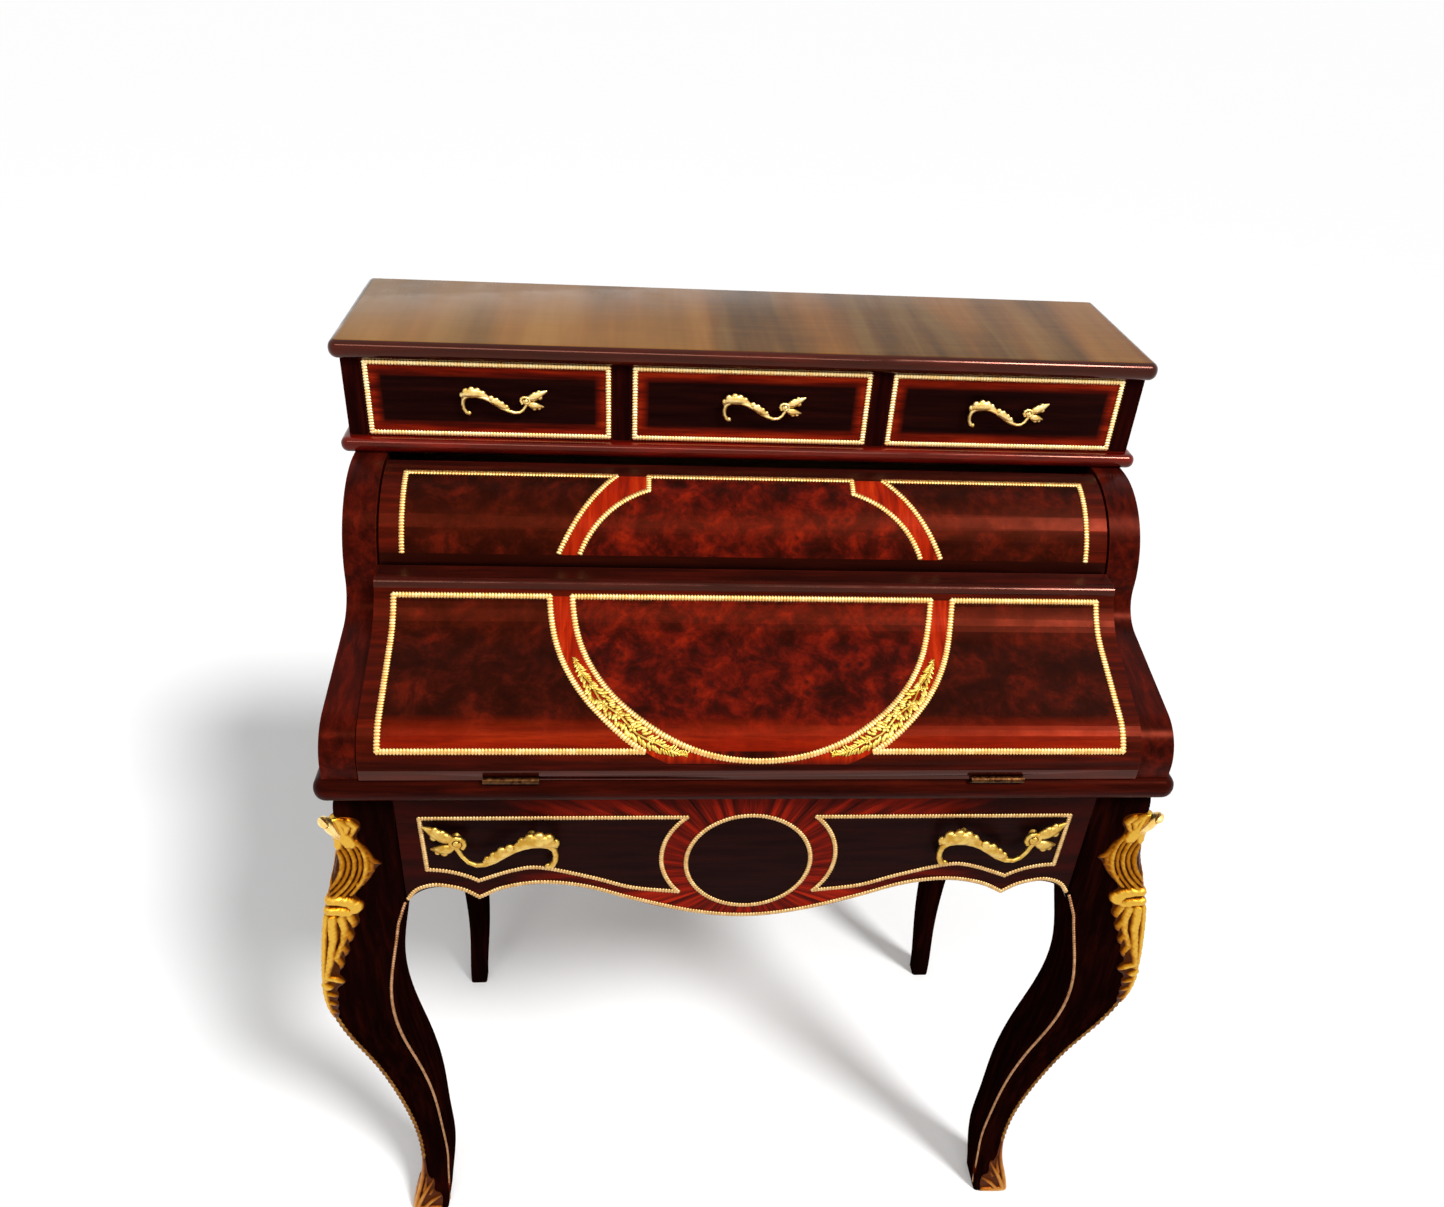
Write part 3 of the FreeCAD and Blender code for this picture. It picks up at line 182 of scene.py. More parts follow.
RED_GRAIN = [(0.3, "#1e0502"), (0.5, "#380a04"), (0.7, "#581206")]
BRIGHT_GRAIN = [(0.3, "#6c1105"), (0.5, "#961c06"), (0.7, "#b8300c")]
BROWN_GRAIN = [(0.3, "#160403"), (0.5, "#2a0804"), (0.7, "#420e06")]
DARK_GRAIN = [(0.3, "#080201"), (0.5, "#100302"), (0.72, "#200603")]
BLACK_GRAIN = [(0.3, "#0a0303"), (0.5, "#140605"), (0.72, "#220907")]
MEDALLION_BURL = [(0.36, "#120302"), (0.46, "#320704"), (0.55, "#540e06"), (0.68, "#7e1a08")]
SIDE_BURL = [(0.36, "#0a0201"), (0.47, "#1c0502"), (0.56, "#320a04"), (0.7, "#561307")]
UPRIGHT_GRAIN = [(0.3, "#120303"), (0.5, "#1e0504"), (0.72, "#300905")]
CHEEK_GRAIN = [(0.3, "#1c0503"), (0.5, "#360a05"), (0.7, "#521107")]
NOSING_GRAIN = [(0.3, "#300603"), (0.5, "#500a05"), (0.7, "#781208")]
CROSSBAND_GRAIN = [(0.3, "#420b05"), (0.5, "#741708"), (0.7, "#98280d")]
FAN_GRAIN = [(0.3, "#160403"), (0.46, "#520d05"), (0.58, "#801607"), (0.75, "#a62409")]
TOP_GRAIN = [(0.3, "#62390e"), (0.5, "#7c4e15"), (0.7, "#906223")]
# Layers of the top board's figure, partly a painted reflection of the room: width and depth in millimetres,
# detail, roughness and colours
TOP_FIGURE_AND_REFLECTION = [
    (130, 700, 2.0, 0.45, [(0.36, "#30200a"), (0.46, "#875119"), (0.55, "#915f22"), (0.64, "#662f08")]),
    (38, 600, 3.0, 0.6, [(0.36, "#38260c"), (0.5, "#774d1a"), (0.64, "#98723a")]),
]
OAK_GRAIN = [(0.3, "#8a6236"), (0.5, "#a67b4a"), (0.7, "#bd945f")]
OAK_BACK_GRAIN = [(0.3, "#7c5530"), (0.5, "#966b3f"), (0.7, "#ad8452")]
POLISH = dict(roughness=0.32, specular=0.22, tint="#ff6038")
UPRIGHT_POLISH = dict(roughness=0.36, specular=0.045, tint="#ff5a30")
CHEEK_POLISH = dict(roughness=0.28, specular=0.1, tint="#ff6038")
NOSING_POLISH = dict(roughness=0.13, specular=0.5, tint="#ffa890")
TOP_POLISH = dict(roughness=0.16, specular=0.06, tint="#ffb070")
SATIN = dict(roughness=0.4, specular=0.0)
OIL = dict(roughness=0.6)


def polished(shader, colour, place, roughness):
    """Hand polish over a colour: cloudy patches of duller gloss and a skin that sinks into the pores."""
    tree = shader.id_data
    rubs = add(tree, "TexNoise", {"Vector": place, "Scale": 1 / (35 * MM), "Detail": 4.0})
    dull = add(tree, "MapRange", {
        "Value": rubs, "From Min": 0.3, "From Max": 0.7,
        "To Min": roughness - 0.06, "To Max": roughness + 0.08})
    skin = add(tree, "TexNoise", {"Vector": place, "Scale": 1 / (6 * MM), "Detail": 3.0})
    bump = add(tree, "Bump", {"Height": skin, "Strength": 0.06, "Distance": 0.5 * MM})
    fed(shader, {"Base Color": colour, "Roughness": dull, "Normal": bump})


def rubbed_edges(tree, colour):
    """Colour worn lighter along edges that hands and dusters touch."""
    edge = add(tree, "AmbientOcclusion", {"Distance": 2.5 * MM}, samples=4, inside=True)
    share = add(tree, "MapRange", {
        "Value": edge.outputs["AO"], "From Min": 0.35, "From Max": 0.75, "To Min": 0.45, "To Max": 0.0})
    return add(tree, "Mix", {0: share, 6: colour, 7: srgb("#6e2410")}, data_type="RGBA")


def straight_wood(name, along, band_mm, stops, polish=POLISH):
    """Straight-grained wood with rubbed edges, under a polish."""
    material, tree, shader = finish_of(name, **polish)
    place = add(tree, "TexCoord").outputs["Object"]
    grain = straight_grain(tree, place, along, band_mm, stops)
    polished(shader, rubbed_edges(tree, grain), place, polish["roughness"])
    return material


# French-polished mahogany: deep red-brown grain under a clear gloss, dull satin on the uprights and legs
mahogany_nosing = straight_wood("french_polished_mahogany_nosing", "X", 9, NOSING_GRAIN, NOSING_POLISH)
mahogany_edge = straight_wood("french_polished_mahogany_edge", "X", 9, BROWN_GRAIN, NOSING_POLISH)
mahogany_desk = straight_wood("french_polished_mahogany_desk", "X", 9, BROWN_GRAIN, UPRIGHT_POLISH)
mahogany_deep = straight_wood("french_polished_mahogany_deep", "X", 9, BROWN_GRAIN)
mahogany_upright = straight_wood("satin_mahogany_upright", "Z", 8, UPRIGHT_GRAIN, SATIN)
mahogany_leg = straight_wood("satin_mahogany_leg", "Z", 8, DARK_GRAIN, SATIN)
mahogany_cheek = straight_wood("french_polished_mahogany_cheek", "Y", 10, CHEEK_GRAIN, CHEEK_POLISH)
# Oiled oak inside and behind: pale brown and dull, with open grain
oak = straight_wood("oiled_oak_lengthwise", "Y", 6, OAK_GRAIN, OIL)
oak_across = straight_wood("oiled_oak_across", "X", 6, OAK_BACK_GRAIN, OIL)


def gilt(name, pale, deep, low, roughness):
    """Gilt bronze or brass: burnished pale gold and deeper gold in clouds, and brown painted as shade in the
    hollows.
    """
    material, tree, shader = finish_of(name, roughness, metallic=1.0)
    place = add(tree, "TexCoord").outputs["Object"]
    cloud = add(tree, "TexNoise", {"Vector": place, "Scale": 1 / (7 * MM), "Detail": 3.0})
    worn = add(tree, "MapRange", {"Value": cloud, "From Min": 0.35, "From Max": 0.65})
    gold = add(tree, "Mix", {0: worn, 6: srgb(deep), 7: srgb(pale)}, data_type="RGBA")
    # Painted shade: the low colour fills the hollows that ambient occlusion finds
    hollow = add(tree, "AmbientOcclusion", {"Distance": 4 * MM}, samples=8)
    shade = add(tree, "MapRange", {"Value": hollow.outputs["AO"], "From Min": 0.2, "From Max": 0.8})
    colour = add(tree, "Mix", {0: shade, 6: srgb(low), 7: gold}, data_type="RGBA")
    fed(shader, {"Base Color": colour})
    return material


# Each gilt's third colour is the painted shade in its hollows
gilt_beading = gilt("gilt_brass_beading", "#f6d08a", "#e2ae62", "#a26c2e", 0.42)
pale_beading = gilt("gilt_brass_upper_beading", "#ffecb4", "#fbd48a", "#d09a50", 0.42)
frieze_gilt = gilt("gilt_brass_frieze_beading", "#deba82", "#c2985c", "#8a592a", 0.44)
leg_gilt = gilt("rose_gilt_leg_line", "#b88a64", "#946640", "#5c3218", 0.46)
chain_gilt = gilt("worn_gilt_bronze_chain", "#94682e", "#6a4016", "#2c1404", 0.4)
upper_ormolu = gilt("gilt_bronze_drawer_pulls", "#ffe6a0", "#ecc068", "#7a4816", 0.36)
ormolu = gilt("gilt_bronze_ormolu", "#dfbc66", "#bf9034", "#5a300a", 0.36)
pale_ormolu = gilt("gilt_bronze_pale_foliage", "#ecd070", "#c8a03c", "#422c06", 0.42)


def relief_ormolu(name, stops):
    """Cast gilt bronze: pale gold painted as highlight on the raised ribs, orange gold below them and brown
    painted as shade in the grooves.
    """
    material, tree, shader = finish_of(name, 0.36, metallic=1.0)
    place = add(tree, "TexCoord").outputs["Object"]
    rise = add(tree, "Attribute", attribute_name="rise").outputs["Fac"]
    cloud = add(tree, "TexNoise", {"Vector": place, "Scale": 1 / (9 * MM), "Detail": 3.0})
    stray = add(tree, "Math", {0: cloud, 1: 0.5, 2: -0.25}, operation="MULTIPLY_ADD")
    # Painted highlight and shade: the colour follows the height of the cast, pale high and brown low
    level = add(tree, "Math", {0: rise, 1: stray}, operation="ADD")
    colour = add(tree, "ValToRGB", {"Fac": level}, stops)
    # Chasing marks are about 1 mm and drawn at 2.4 mm to show
    chased = add(tree, "TexNoise", {"Vector": place, "Scale": 1 / (2.4 * MM), "Detail": 3.0})
    bump = add(tree, "Bump", {"Height": chased, "Strength": 0.08, "Distance": 0.6 * MM})
    fed(shader, {"Base Color": colour, "Normal": bump})
    return material


def hinge_brass():
    """Worn brass of the hinges and pivots: dull brown metal with dark tarnish."""
    material, tree, shader = finish_of("worn_hinge_brass", 0.38, metallic=1.0)
    place = add(tree, "TexCoord").outputs["Object"]
    cloud = add(tree, "TexNoise", {"Vector": place, "Scale": 1 / (4 * MM), "Detail": 4.0})
    colour = add(tree, "ValToRGB", {"Fac": cloud}, [(0.35, "#2a1409"), (0.65, "#5a3a1e")])
    fed(shader, {"Base Color": colour})
    return material


def writing_leather():
    """Green writing leather: waxed, with a fine pebbled grain and darker patches."""
    material, tree, shader = finish_of("waxed_green_leather", 0.5, 0.4)
    place = add(tree, "TexCoord").outputs["Object"]
    cloud = add(tree, "TexNoise", {"Vector": place, "Scale": 1 / (60 * MM), "Detail": 4.0})
    colour = add(tree, "ValToRGB", {"Fac": cloud}, [(0.35, "#16281b"), (0.65, "#294530")])
    # Pebbles are about 0.8 mm and drawn at 2.2 mm to show
    cells = add(tree, "TexVoronoi", {"Vector": place, "Scale": 1 / (2.2 * MM)})
    bump = add(tree, "Bump", {"Height": cells, "Strength": 0.25, "Distance": 0.3 * MM})
    fed(shader, {"Base Color": colour, "Normal": bump})
    return material


def circle_through(first, second, third):
    """Centre and radius of the circle through three points."""
    (ax, ay), (bx, by), (cx, cy) = first, second, third
    d = 2 * (ax * (by - cy) + bx * (cy - ay) + cx * (ay - by))
    a2, b2, c2 = ax * ax + ay * ay, bx * bx + by * by, cx * cx + cy * cy
    x = (a2 * (by - cy) + b2 * (cy - ay) + c2 * (ay - by)) / d
    y = (a2 * (cx - bx) + b2 * (ax - cx) + c2 * (bx - ax)) / d
    return (x, y), math.hypot(ax - x, ay - y)


def drawing(tree, flat, second):
    """Distance from the middle and the second coordinate of a drawn face, both in millimetres."""
    parts = add(tree, "SeparateXYZ", {0: flat})
    across = add(tree, "Math", {0: parts.outputs[0], 1: 1 / MM}, operation="MULTIPLY")
    across = add(tree, "Math", {0: across}, operation="ABSOLUTE")
    return across, add(tree, "Math", {0: parts.outputs[second], 1: 1 / MM}, operation="MULTIPLY")


def inside_circle(tree, across, along, centre, radius):
    """Mask of a drawn circle."""
    spot = add(tree, "CombineXYZ", {0: across, 1: along})
    gap = add(tree, "VectorMath", {0: spot, 1: (*centre, 0)}, operation="DISTANCE")
    return add(tree, "Math", {0: gap.outputs["Value"], 1: radius}, operation="LESS_THAN")


def all_of(tree, *masks):
    """Mask of what lies in every one of the masks."""
    held = masks[0]
    for mask in masks[1:]:
        held = add(tree, "Math", {0: held, 1: mask}, operation="MULTIPLY")
    return held


def laid_veneers(tree, ground, *veneers):
    """Colour of a face whose ground is overlaid, in turn, by veneers inside their masks."""
    colour = ground
    for mask, veneer in veneers:
        colour = add(tree, "Mix", {0: mask, 6: colour, 7: veneer}, data_type="RGBA")
    return colour


def cylinder_veneer():
    """Cylinder front: burl medallion and sides, a bright ring between, a red border with brown painted shade
    above the top strand, and a dark foot rail.
    """
    material, tree, shader = finish_of("mahogany_veneers_cylinder", **POLISH)
    flat = add(tree, "UVMap")
    across, along = drawing(tree, flat, 1)
    half_width, top, _ = CYLINDER_FRAME
    neck_x, notch = CYLINDER_INNER[0]
    below_top, below_notch, rail = (
        add(tree, "Math", {0: along, 1: limit}, operation="GREATER_THAN")
        for limit in (top, notch, CYLINDER_RAIL))
    shaded_top_border, within, neck = (
        add(tree, "Math", {0: value, 1: limit}, operation="LESS_THAN")
        for value, limit in ((along, top), (across, half_width), (across, neck_x)))
    outer, inner = (
        inside_circle(tree, across, along, *circle_through(*arc)) for arc in (CYLINDER_OUTER, CYLINDER_INNER))
    medallion = burl(tree, flat, 30, MEDALLION_BURL)
    colour = laid_veneers(
        tree, straight_grain(tree, flat, "X", 9, RED_GRAIN),
        (all_of(tree, within, below_top), burl(tree, flat, 30, SIDE_BURL)),
        (all_of(tree, outer, below_top), straight_grain(tree, flat, "Y", 7, BRIGHT_GRAIN)),
        (all_of(tree, inner, below_notch), medallion),
        (all_of(tree, neck, below_top), medallion),
        # Painted shade: brown above the top strand, where the waist moulding shades the cylinder
        (shaded_top_border, straight_grain(tree, flat, "X", 9, BROWN_GRAIN)),
        (rail, straight_grain(tree, flat, "X", 9, DARK_GRAIN)))
    polished(shader, colour, flat, POLISH["roughness"])
    return material


def flap_veneer():
    """Flap front: burl bowl and sides, a bright ring between them, redder grain over the roll as a painted
    highlight, and a foot darkened as painted shade.
    """
    material, tree, shader = finish_of("mahogany_veneers_flap", **POLISH)
    flat = add(tree, "UVMap")
    across, along = drawing(tree, flat, 1)
    half_width, top, low = FLAP_FRAME
    below_top = add(tree, "Math", {0: along, 1: top}, operation="GREATER_THAN")
    above_low, within = (
        add(tree, "Math", {0: value, 1: limit}, operation="LESS_THAN")
        for value, limit in ((along, low), (across, half_width)))
    # Painted highlight in brighter grain over the roll, and painted shade darkening the foot
    roll_highlight, foot = (
        add(tree, "MapRange", {"Value": along, "From Min": start, "From Max": end, "To Max": most})
        for (start, end), most in ((FLAP_ROLL_HIGHLIGHT, 0.6), (FLAP_FOOT_SHADE, 1.0)))
    inner, outer = (
        inside_circle(tree, across, along, (0.0, FLAP_RING_CENTRE), radius) for radius in FLAP_RINGS)
    colour = laid_veneers(
        tree, straight_grain(tree, flat, "X", 9, RED_GRAIN),
        (all_of(tree, within, below_top, above_low), burl(tree, flat, 32, SIDE_BURL)),
        (all_of(tree, outer, below_top), straight_grain(tree, flat, "Y", 7, BRIGHT_GRAIN)),
        (all_of(tree, inner, below_top), burl(tree, flat, 32, MEDALLION_BURL)),
        (all_of(tree, roll_highlight, above_low, within), straight_grain(tree, flat, "X", 12, BRIGHT_GRAIN)),
        (foot, straight_grain(tree, flat, "X", 9, DARK_GRAIN)))
    polished(shader, colour, flat, POLISH["roughness"])
    return material


def drawer_veneer():
    """Small drawer fronts: a near-black field inside a red crossband."""
    material, tree, shader = finish_of("mahogany_veneers_small_drawers", **UPRIGHT_POLISH)
    place = add(tree, "TexCoord").outputs["Object"]
    parts = add(tree, "SeparateXYZ", {0: place})
    half_pitch = DRAWER_PITCH / 2 * MM
    bay = add(tree, "Math", {0: parts.outputs[0], 1: half_pitch, 2: -half_pitch}, operation="WRAP")
    across, up = drawing(tree, add(tree, "CombineXYZ", {0: bay, 2: parts.outputs[2]}), 2)
    off_middle = add(tree, "Math", {0: up, 1: DRAWER_MIDDLE_Z}, operation="SUBTRACT")
    off_middle = add(tree, "Math", {0: off_middle}, operation="ABSOLUTE")
    field_x, field_z = (
        add(tree, "MapRange", {"Value": value, "From Min": edge + CROSSBAND_FADE, "From Max": edge})
        for value, edge in ((across, DRAWER_HALF - CROSSBAND), (off_middle, DRAWER_HALF_Z - CROSSBAND)))
    colour = laid_veneers(
        tree, straight_grain(tree, place, "X", 7, CROSSBAND_GRAIN),
        (all_of(tree, field_x, field_z), straight_grain(tree, place, "X", 8, BLACK_GRAIN)))
    polished(shader, colour, place, UPRIGHT_POLISH["roughness"])
    return material


def frieze_veneer():
    """Frieze: red veneer fanned out in dark and bright rays, with near-black panels and rondel let in."""
    material, tree, shader = finish_of("mahogany_veneers_frieze", **UPRIGHT_POLISH)
    place = add(tree, "TexCoord").outputs["Object"]
    across, up = drawing(tree, place, 2)
    rise = add(tree, "Math", {0: up, 1: FAN_Z}, operation="SUBTRACT")
    turn = add(tree, "Math", {0: rise, 1: across}, operation="ARCTAN2")
    # Rays are some 4 degrees wide, and 120 mm long
    fan = add(tree, "CombineXYZ", {0: turn, 1: across, 2: rise})
    spread = add(tree, "Mapping", {"Vector": fan, "Scale": (14.0, 1 / 120, 1 / 120)})
    rays = add(tree, "TexNoise", {"Vector": spread, "Scale": 1.0, "Detail": 4.0, "Roughness": 0.65})
    red = add(tree, "ValToRGB", {"Fac": rays}, FAN_GRAIN)
    far = add(tree, "MapRange", {
        "Value": across, "From Min": FAN_FADE[0], "From Max": FAN_FADE[1], "To Max": 0.92})
    end, top = (
        add(tree, "Math", {0: value, 1: limit}, operation="LESS_THAN")
        for value, limit in zip((across, up), FRIEZE_TOP[0]))
    back = inside_circle(tree, across, up, *circle_through(*FRIEZE_BACK))
    clear = add(tree, "Math", {0: 1.0, 1: back}, operation="SUBTRACT")
    past = add(tree, "Math", {0: across, 1: FRIEZE_BACK[0][0]}, operation="GREATER_THAN")
    # The panel's lower edge: height against distance from the middle, in a square that starts at square_low
    square, square_low = 400.0, 500.0
    along_square = add(tree, "Math", {0: across, 1: square}, operation="DIVIDE")
    low_edge = add(tree, "FloatCurve", {"Value": along_square})
    line = low_edge.mapping.curves[0].points
    for index, (x, z) in enumerate(FRIEZE_LOW + FRIEZE_END[1:]):
        at = (x / square, (z - square_low) / square)
        spot = line[index] if index < 2 else line.new(*at)
        spot.location = at
    low_edge.mapping.update()
    edge_z = add(tree, "Math", {0: low_edge, 1: square, 2: square_low}, operation="MULTIPLY_ADD")
    over = add(tree, "Math", {0: up, 1: edge_z}, operation="GREATER_THAN")
    black = straight_grain(tree, place, "X", 8, BLACK_GRAIN)
    colour = laid_veneers(
        tree, red, (far, straight_grain(tree, place, "X", 9, DARK_GRAIN)),
        (all_of(tree, top, end, clear, past, over), black),
        (inside_circle(tree, across, up, (0.0, RONDEL_Z), RONDEL_R), black))
    polished(shader, colour, place, UPRIGHT_POLISH["roughness"])
    return material


def top_veneer():
    """Top board: broad brown and olive streaks across the board, partly figure and partly a painted
    reflection of the room, under a mirror gloss.
    """
    material, tree, shader = finish_of("mahogany_veneer_top_board", **TOP_POLISH)
    place = add(tree, "TexCoord").outputs["Object"]
    layers = []
    for wide, deep, detail, roughness, stops in TOP_FIGURE_AND_REFLECTION:
        laid = add(tree, "Mapping", {"Vector": place, "Scale": (1 / (wide * MM), *[1 / (deep * MM)] * 2)})
        noise = add(tree, "TexNoise", {
            "Vector": laid, "Scale": 1.0, "Detail": detail, "Roughness": roughness})
        layers.append(add(tree, "ValToRGB", {"Fac": noise}, stops))
    # Painted reflection: the left end is paler
    spot = add(tree, "SeparateXYZ", {0: place})
    painted_reflection = add(tree, "MapRange", {
        "Value": spot.outputs[0], "From Min": -440 * MM, "From Max": 0.0, "To Min": 0.4, "To Max": 0.0})
    colour = laid_veneers(
        tree, layers[0], (0.4, layers[1]),
        (0.22, straight_grain(tree, place, "X", 7, TOP_GRAIN)),
        (painted_reflection, srgb("#aa7c42")))
    polished(shader, colour, place, TOP_POLISH["roughness"])
    return material


# Pieces
def piece_of(name, bm, body, slot, *materials, smooth=40.0):
    """Object from a bmesh, riding on a body."""
    mesh = bpy.data.meshes.new(name)
    bm.to_mesh(mesh)
    bm.free()
    for material in materials:
        mesh.materials.append(material)
    mesh.shade_smooth()
    mesh.set_sharp_from_angle(angle=math.radians(smooth))
    made = bpy.data.objects.new(name, mesh)
    bpy.context.scene.collection.objects.link(made)
    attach(made, body)
    return made


def paint(material, *names):
    """Gives solids that keep their own shape their finish."""
    for name in names:
        mesh = solids[name].data
        mesh.materials.clear()
        mesh.materials.append(material)


def pair(name):
    """Names of a left and a right piece."""
    return [name + "_left", name + "_right"]


def veneered(node, slot, along_at, choose, *materials):
    """Merged copy of a solid with a map of its curved front, standing for the solid."""
    bm = bmesh.new()
    bm.from_mesh(solids[node].data)
    bmesh.ops.remove_doubles(bm, verts=bm.verts, dist=0.001 * MM)
    flat = bm.loops.layers.uv.new("unrolled")
    for face in bm.faces:
        face.material_index = choose(face)
        for loop in face.loops:
            x, y, z = loop.vert.co
            loop[flat].uv = (x, along_at(y / MM, z / MM) * MM)
    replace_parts(piece_of(node + "_veneered", bm, body_of[node], slot, *materials, smooth=25.0), node)


# Curved faces, as distance from the middle and distance along the curve
def polar(centre, radius, turn):
    """Point on a circle."""
    return centre[0] + radius * math.cos(turn), centre[1] + radius * math.sin(turn)


def on_cylinder(x, along):
    """Point and outward direction on the cylinder, measured from its top."""
    turn = along / CYLINDER_R
    out = Vector((0, -math.sin(turn), math.cos(turn)))
    return Vector((x, *CYLINDER_AXIS)) + out * CYLINDER_R, out


def cylinder_along(y, z):
    """Distance of a point down the cylinder's curve."""
    return CYLINDER_R * math.atan2(CYLINDER_AXIS[0] - y, z - CYLINDER_AXIS[1])


SLOPE_LOW = polar(FLAP_ROLL, FLAP_ROLL_R, FLAP_SLOPE + SQUARE)
SLOPE_HIGH = (FLAP_HOLLOW_Y, SLOPE_LOW[1] + (FLAP_HOLLOW_Y - SLOPE_LOW[0]) * math.tan(FLAP_SLOPE))
HOLLOW_CENTRE = polar(SLOPE_HIGH, FLAP_HOLLOW_R, FLAP_SLOPE + SQUARE)
HOLLOW_LENGTH = FLAP_HOLLOW_R * (FLAP_LIP - FLAP_SLOPE + SQUARE)
SLOPE_LENGTH = math.dist(SLOPE_LOW, SLOPE_HIGH)


def on_flap(x, along):
    """Point and outward direction on the flap, measured from its lip over hollow, slope and roll."""
    below = along - HOLLOW_LENGTH - SLOPE_LENGTH
    if along < HOLLOW_LENGTH:
        turn = FLAP_LIP - along / FLAP_HOLLOW_R
        place = polar(HOLLOW_CENTRE, FLAP_HOLLOW_R, turn)
        out = polar((0, 0), -1, turn)
    elif below < 0:
        place = polar(SLOPE_HIGH, HOLLOW_LENGTH - along, FLAP_SLOPE)
        out = polar((0, 0), 1, FLAP_SLOPE + SQUARE)
    else:
        turn = FLAP_SLOPE + SQUARE + below / FLAP_ROLL_R
        place = polar(FLAP_ROLL, FLAP_ROLL_R, turn)
        out = polar((0, 0), 1, turn)
    return Vector((x, *place)), Vector((0, *out))


def flap_along(y, z):
    """Distance of a point down the flap's curve."""
    if y > SLOPE_HIGH[0]:
        turn = math.atan2(z - HOLLOW_CENTRE[1], y - HOLLOW_CENTRE[0])
        return (FLAP_LIP - turn) * FLAP_HOLLOW_R
    if y > SLOPE_LOW[0]:
        return HOLLOW_LENGTH + math.dist((y, z), SLOPE_HIGH)
    turn = math.atan2(z - FLAP_ROLL[1], y - FLAP_ROLL[0])
    return HOLLOW_LENGTH + SLOPE_LENGTH + (turn - FLAP_SLOPE - SQUARE) * FLAP_ROLL_R


def on_frieze(x, z):
    """Point and outward direction on the frieze."""
    return Vector((x, FRIEZE_Y, z)), FRONT


def on_drawer(x, z):
    """Point and outward direction on the small drawers."""
    return Vector((x, DRAWER_Y, z)), FRONT


# Runs of points along the drawn lines
def curve_through(points, steps=14):
    """Smooth run through points, as closely spaced points."""
    spots = [Vector(point) for point in points]
    spots = [2 * spots[0] - spots[1], *spots, 2 * spots[-1] - spots[-2]]
    run = []
    for p0, p1, p2, p3 in zip(spots, spots[1:], spots[2:], spots[3:]):
        for step in range(steps):
            t = step / steps
            spot = p1 + 0.5 * t * (p2 - p0) + t * t * (p0 - 2.5 * p1 + 2 * p2 - 0.5 * p3)
            run.append(spot + t ** 3 * (1.5 * p1 - 0.5 * p0 - 1.5 * p2 + 0.5 * p3))
    return run + [spots[-2]]


def tapered(radii, steps):
    """Radii as closely spaced as the points of a smooth run."""
    return [spot.x for spot in curve_through([(radius, 0) for radius in radii], steps)]


def ring_run(radius, start, end, steps=60, centre=(0, FLAP_RING_CENTRE)):
    """Points along a part of a circle, by default a ring of the flap."""
    return [polar(centre, radius, start + (end - start) * step / steps) for step in range(steps + 1)]


def arc_through(points, steps=40):
    """Points along the arc through three points."""
    centre, radius = circle_through(*points)
    start, end = (math.atan2(y - centre[1], x - centre[0]) for x, y in (points[0], points[-1]))
    return ring_run(radius, start, end, steps, centre)


def straight_run(start, end, steps=40):
    """Points along a straight line."""
    return [(start[0] + (end[0] - start[0]) * step / steps, start[1] + (end[1] - start[1]) * step / steps)
            for step in range(steps + 1)]


def on_both_sides(runs):
    """Runs with their mirror images."""
    return runs + [[(-x, y) for x, y in run] for run in runs]


def spaced(spots, pitch):
    """Equal steps along a run of points and outward directions, as point, heading and outward direction."""
    lengths = [0.0]
    for (a, _), (b, _) in zip(spots, spots[1:]):
        lengths.append(lengths[-1] + (b - a).length)
    count = max(2, round(lengths[-1] / pitch))
    at = 0
    for index in range(count + 1):
        goal = lengths[-1] * index / count
        while at < len(spots) - 2 and lengths[at + 1] < goal:
            at += 1
        share = (goal - lengths[at]) / max(lengths[at + 1] - lengths[at], 1e-9)
        a, b = spots[at], spots[at + 1]
        yield a[0].lerp(b[0], share), (b[0] - a[0]).normalized(), a[1].lerp(b[1], share).normalized()


def turned(point, heading, out):
    """Matrix with X along the heading and Z outward, at a point in millimetres."""
    across = out.cross(heading).normalized()
    return Matrix.Translation(point * MM) @ Matrix((across.cross(out), across, out)).transposed().to_4x4()


# Gilt work
def small_ball(sides, rings):
    """Ball of a millimetre in radius, to be strewn."""
    bm = bmesh.new()
    bmesh.ops.create_uvsphere(bm, u_segments=sides, v_segments=rings, radius=MM)
    mesh = bpy.data.meshes.new("ball")
    bm.to_mesh(mesh)
    bm.free()
    return mesh


bead = small_ball(8, 6)
lobe = small_ball(10, 8)


def strewn(bm, mesh, placing):
    """Adds a copy of a small mesh, placed by a matrix."""
    mesh.transform(placing)
    bm.from_mesh(mesh)
    mesh.transform(placing.inverted())


# Length of a bead as a share of its pitch, and its height and lift in millimetres
BEAD_LENGTH, BEAD_HEIGHT, BEAD_LIFT = 0.7, 1.7, 0.25


def beaded(name, node, runs, gold, half_width=3.4, narrowing=0.0, pitch=3.2):
    """Rows of pressed beads, standing for the plain strands; narrowing is half width lost per millimetre."""
    bm = bmesh.new()
    for run in runs:
        for index, (point, heading, out) in enumerate(spaced(run, pitch)):
            width = half_width - narrowing * pitch * index
            swell = Matrix.Diagonal((pitch * BEAD_LENGTH, width, BEAD_HEIGHT, 1))
            strewn(bm, bead, turned(point + out * BEAD_LIFT, heading, out) @ swell)
    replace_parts(piece_of(name, bm, body_of[node], "gilt_bronze", gold, smooth=80.0), node)


def laid(face, runs):
    """Drawn runs brought onto a face, as points and outward directions."""
    return [[face(*point) for point in run] for run in runs]


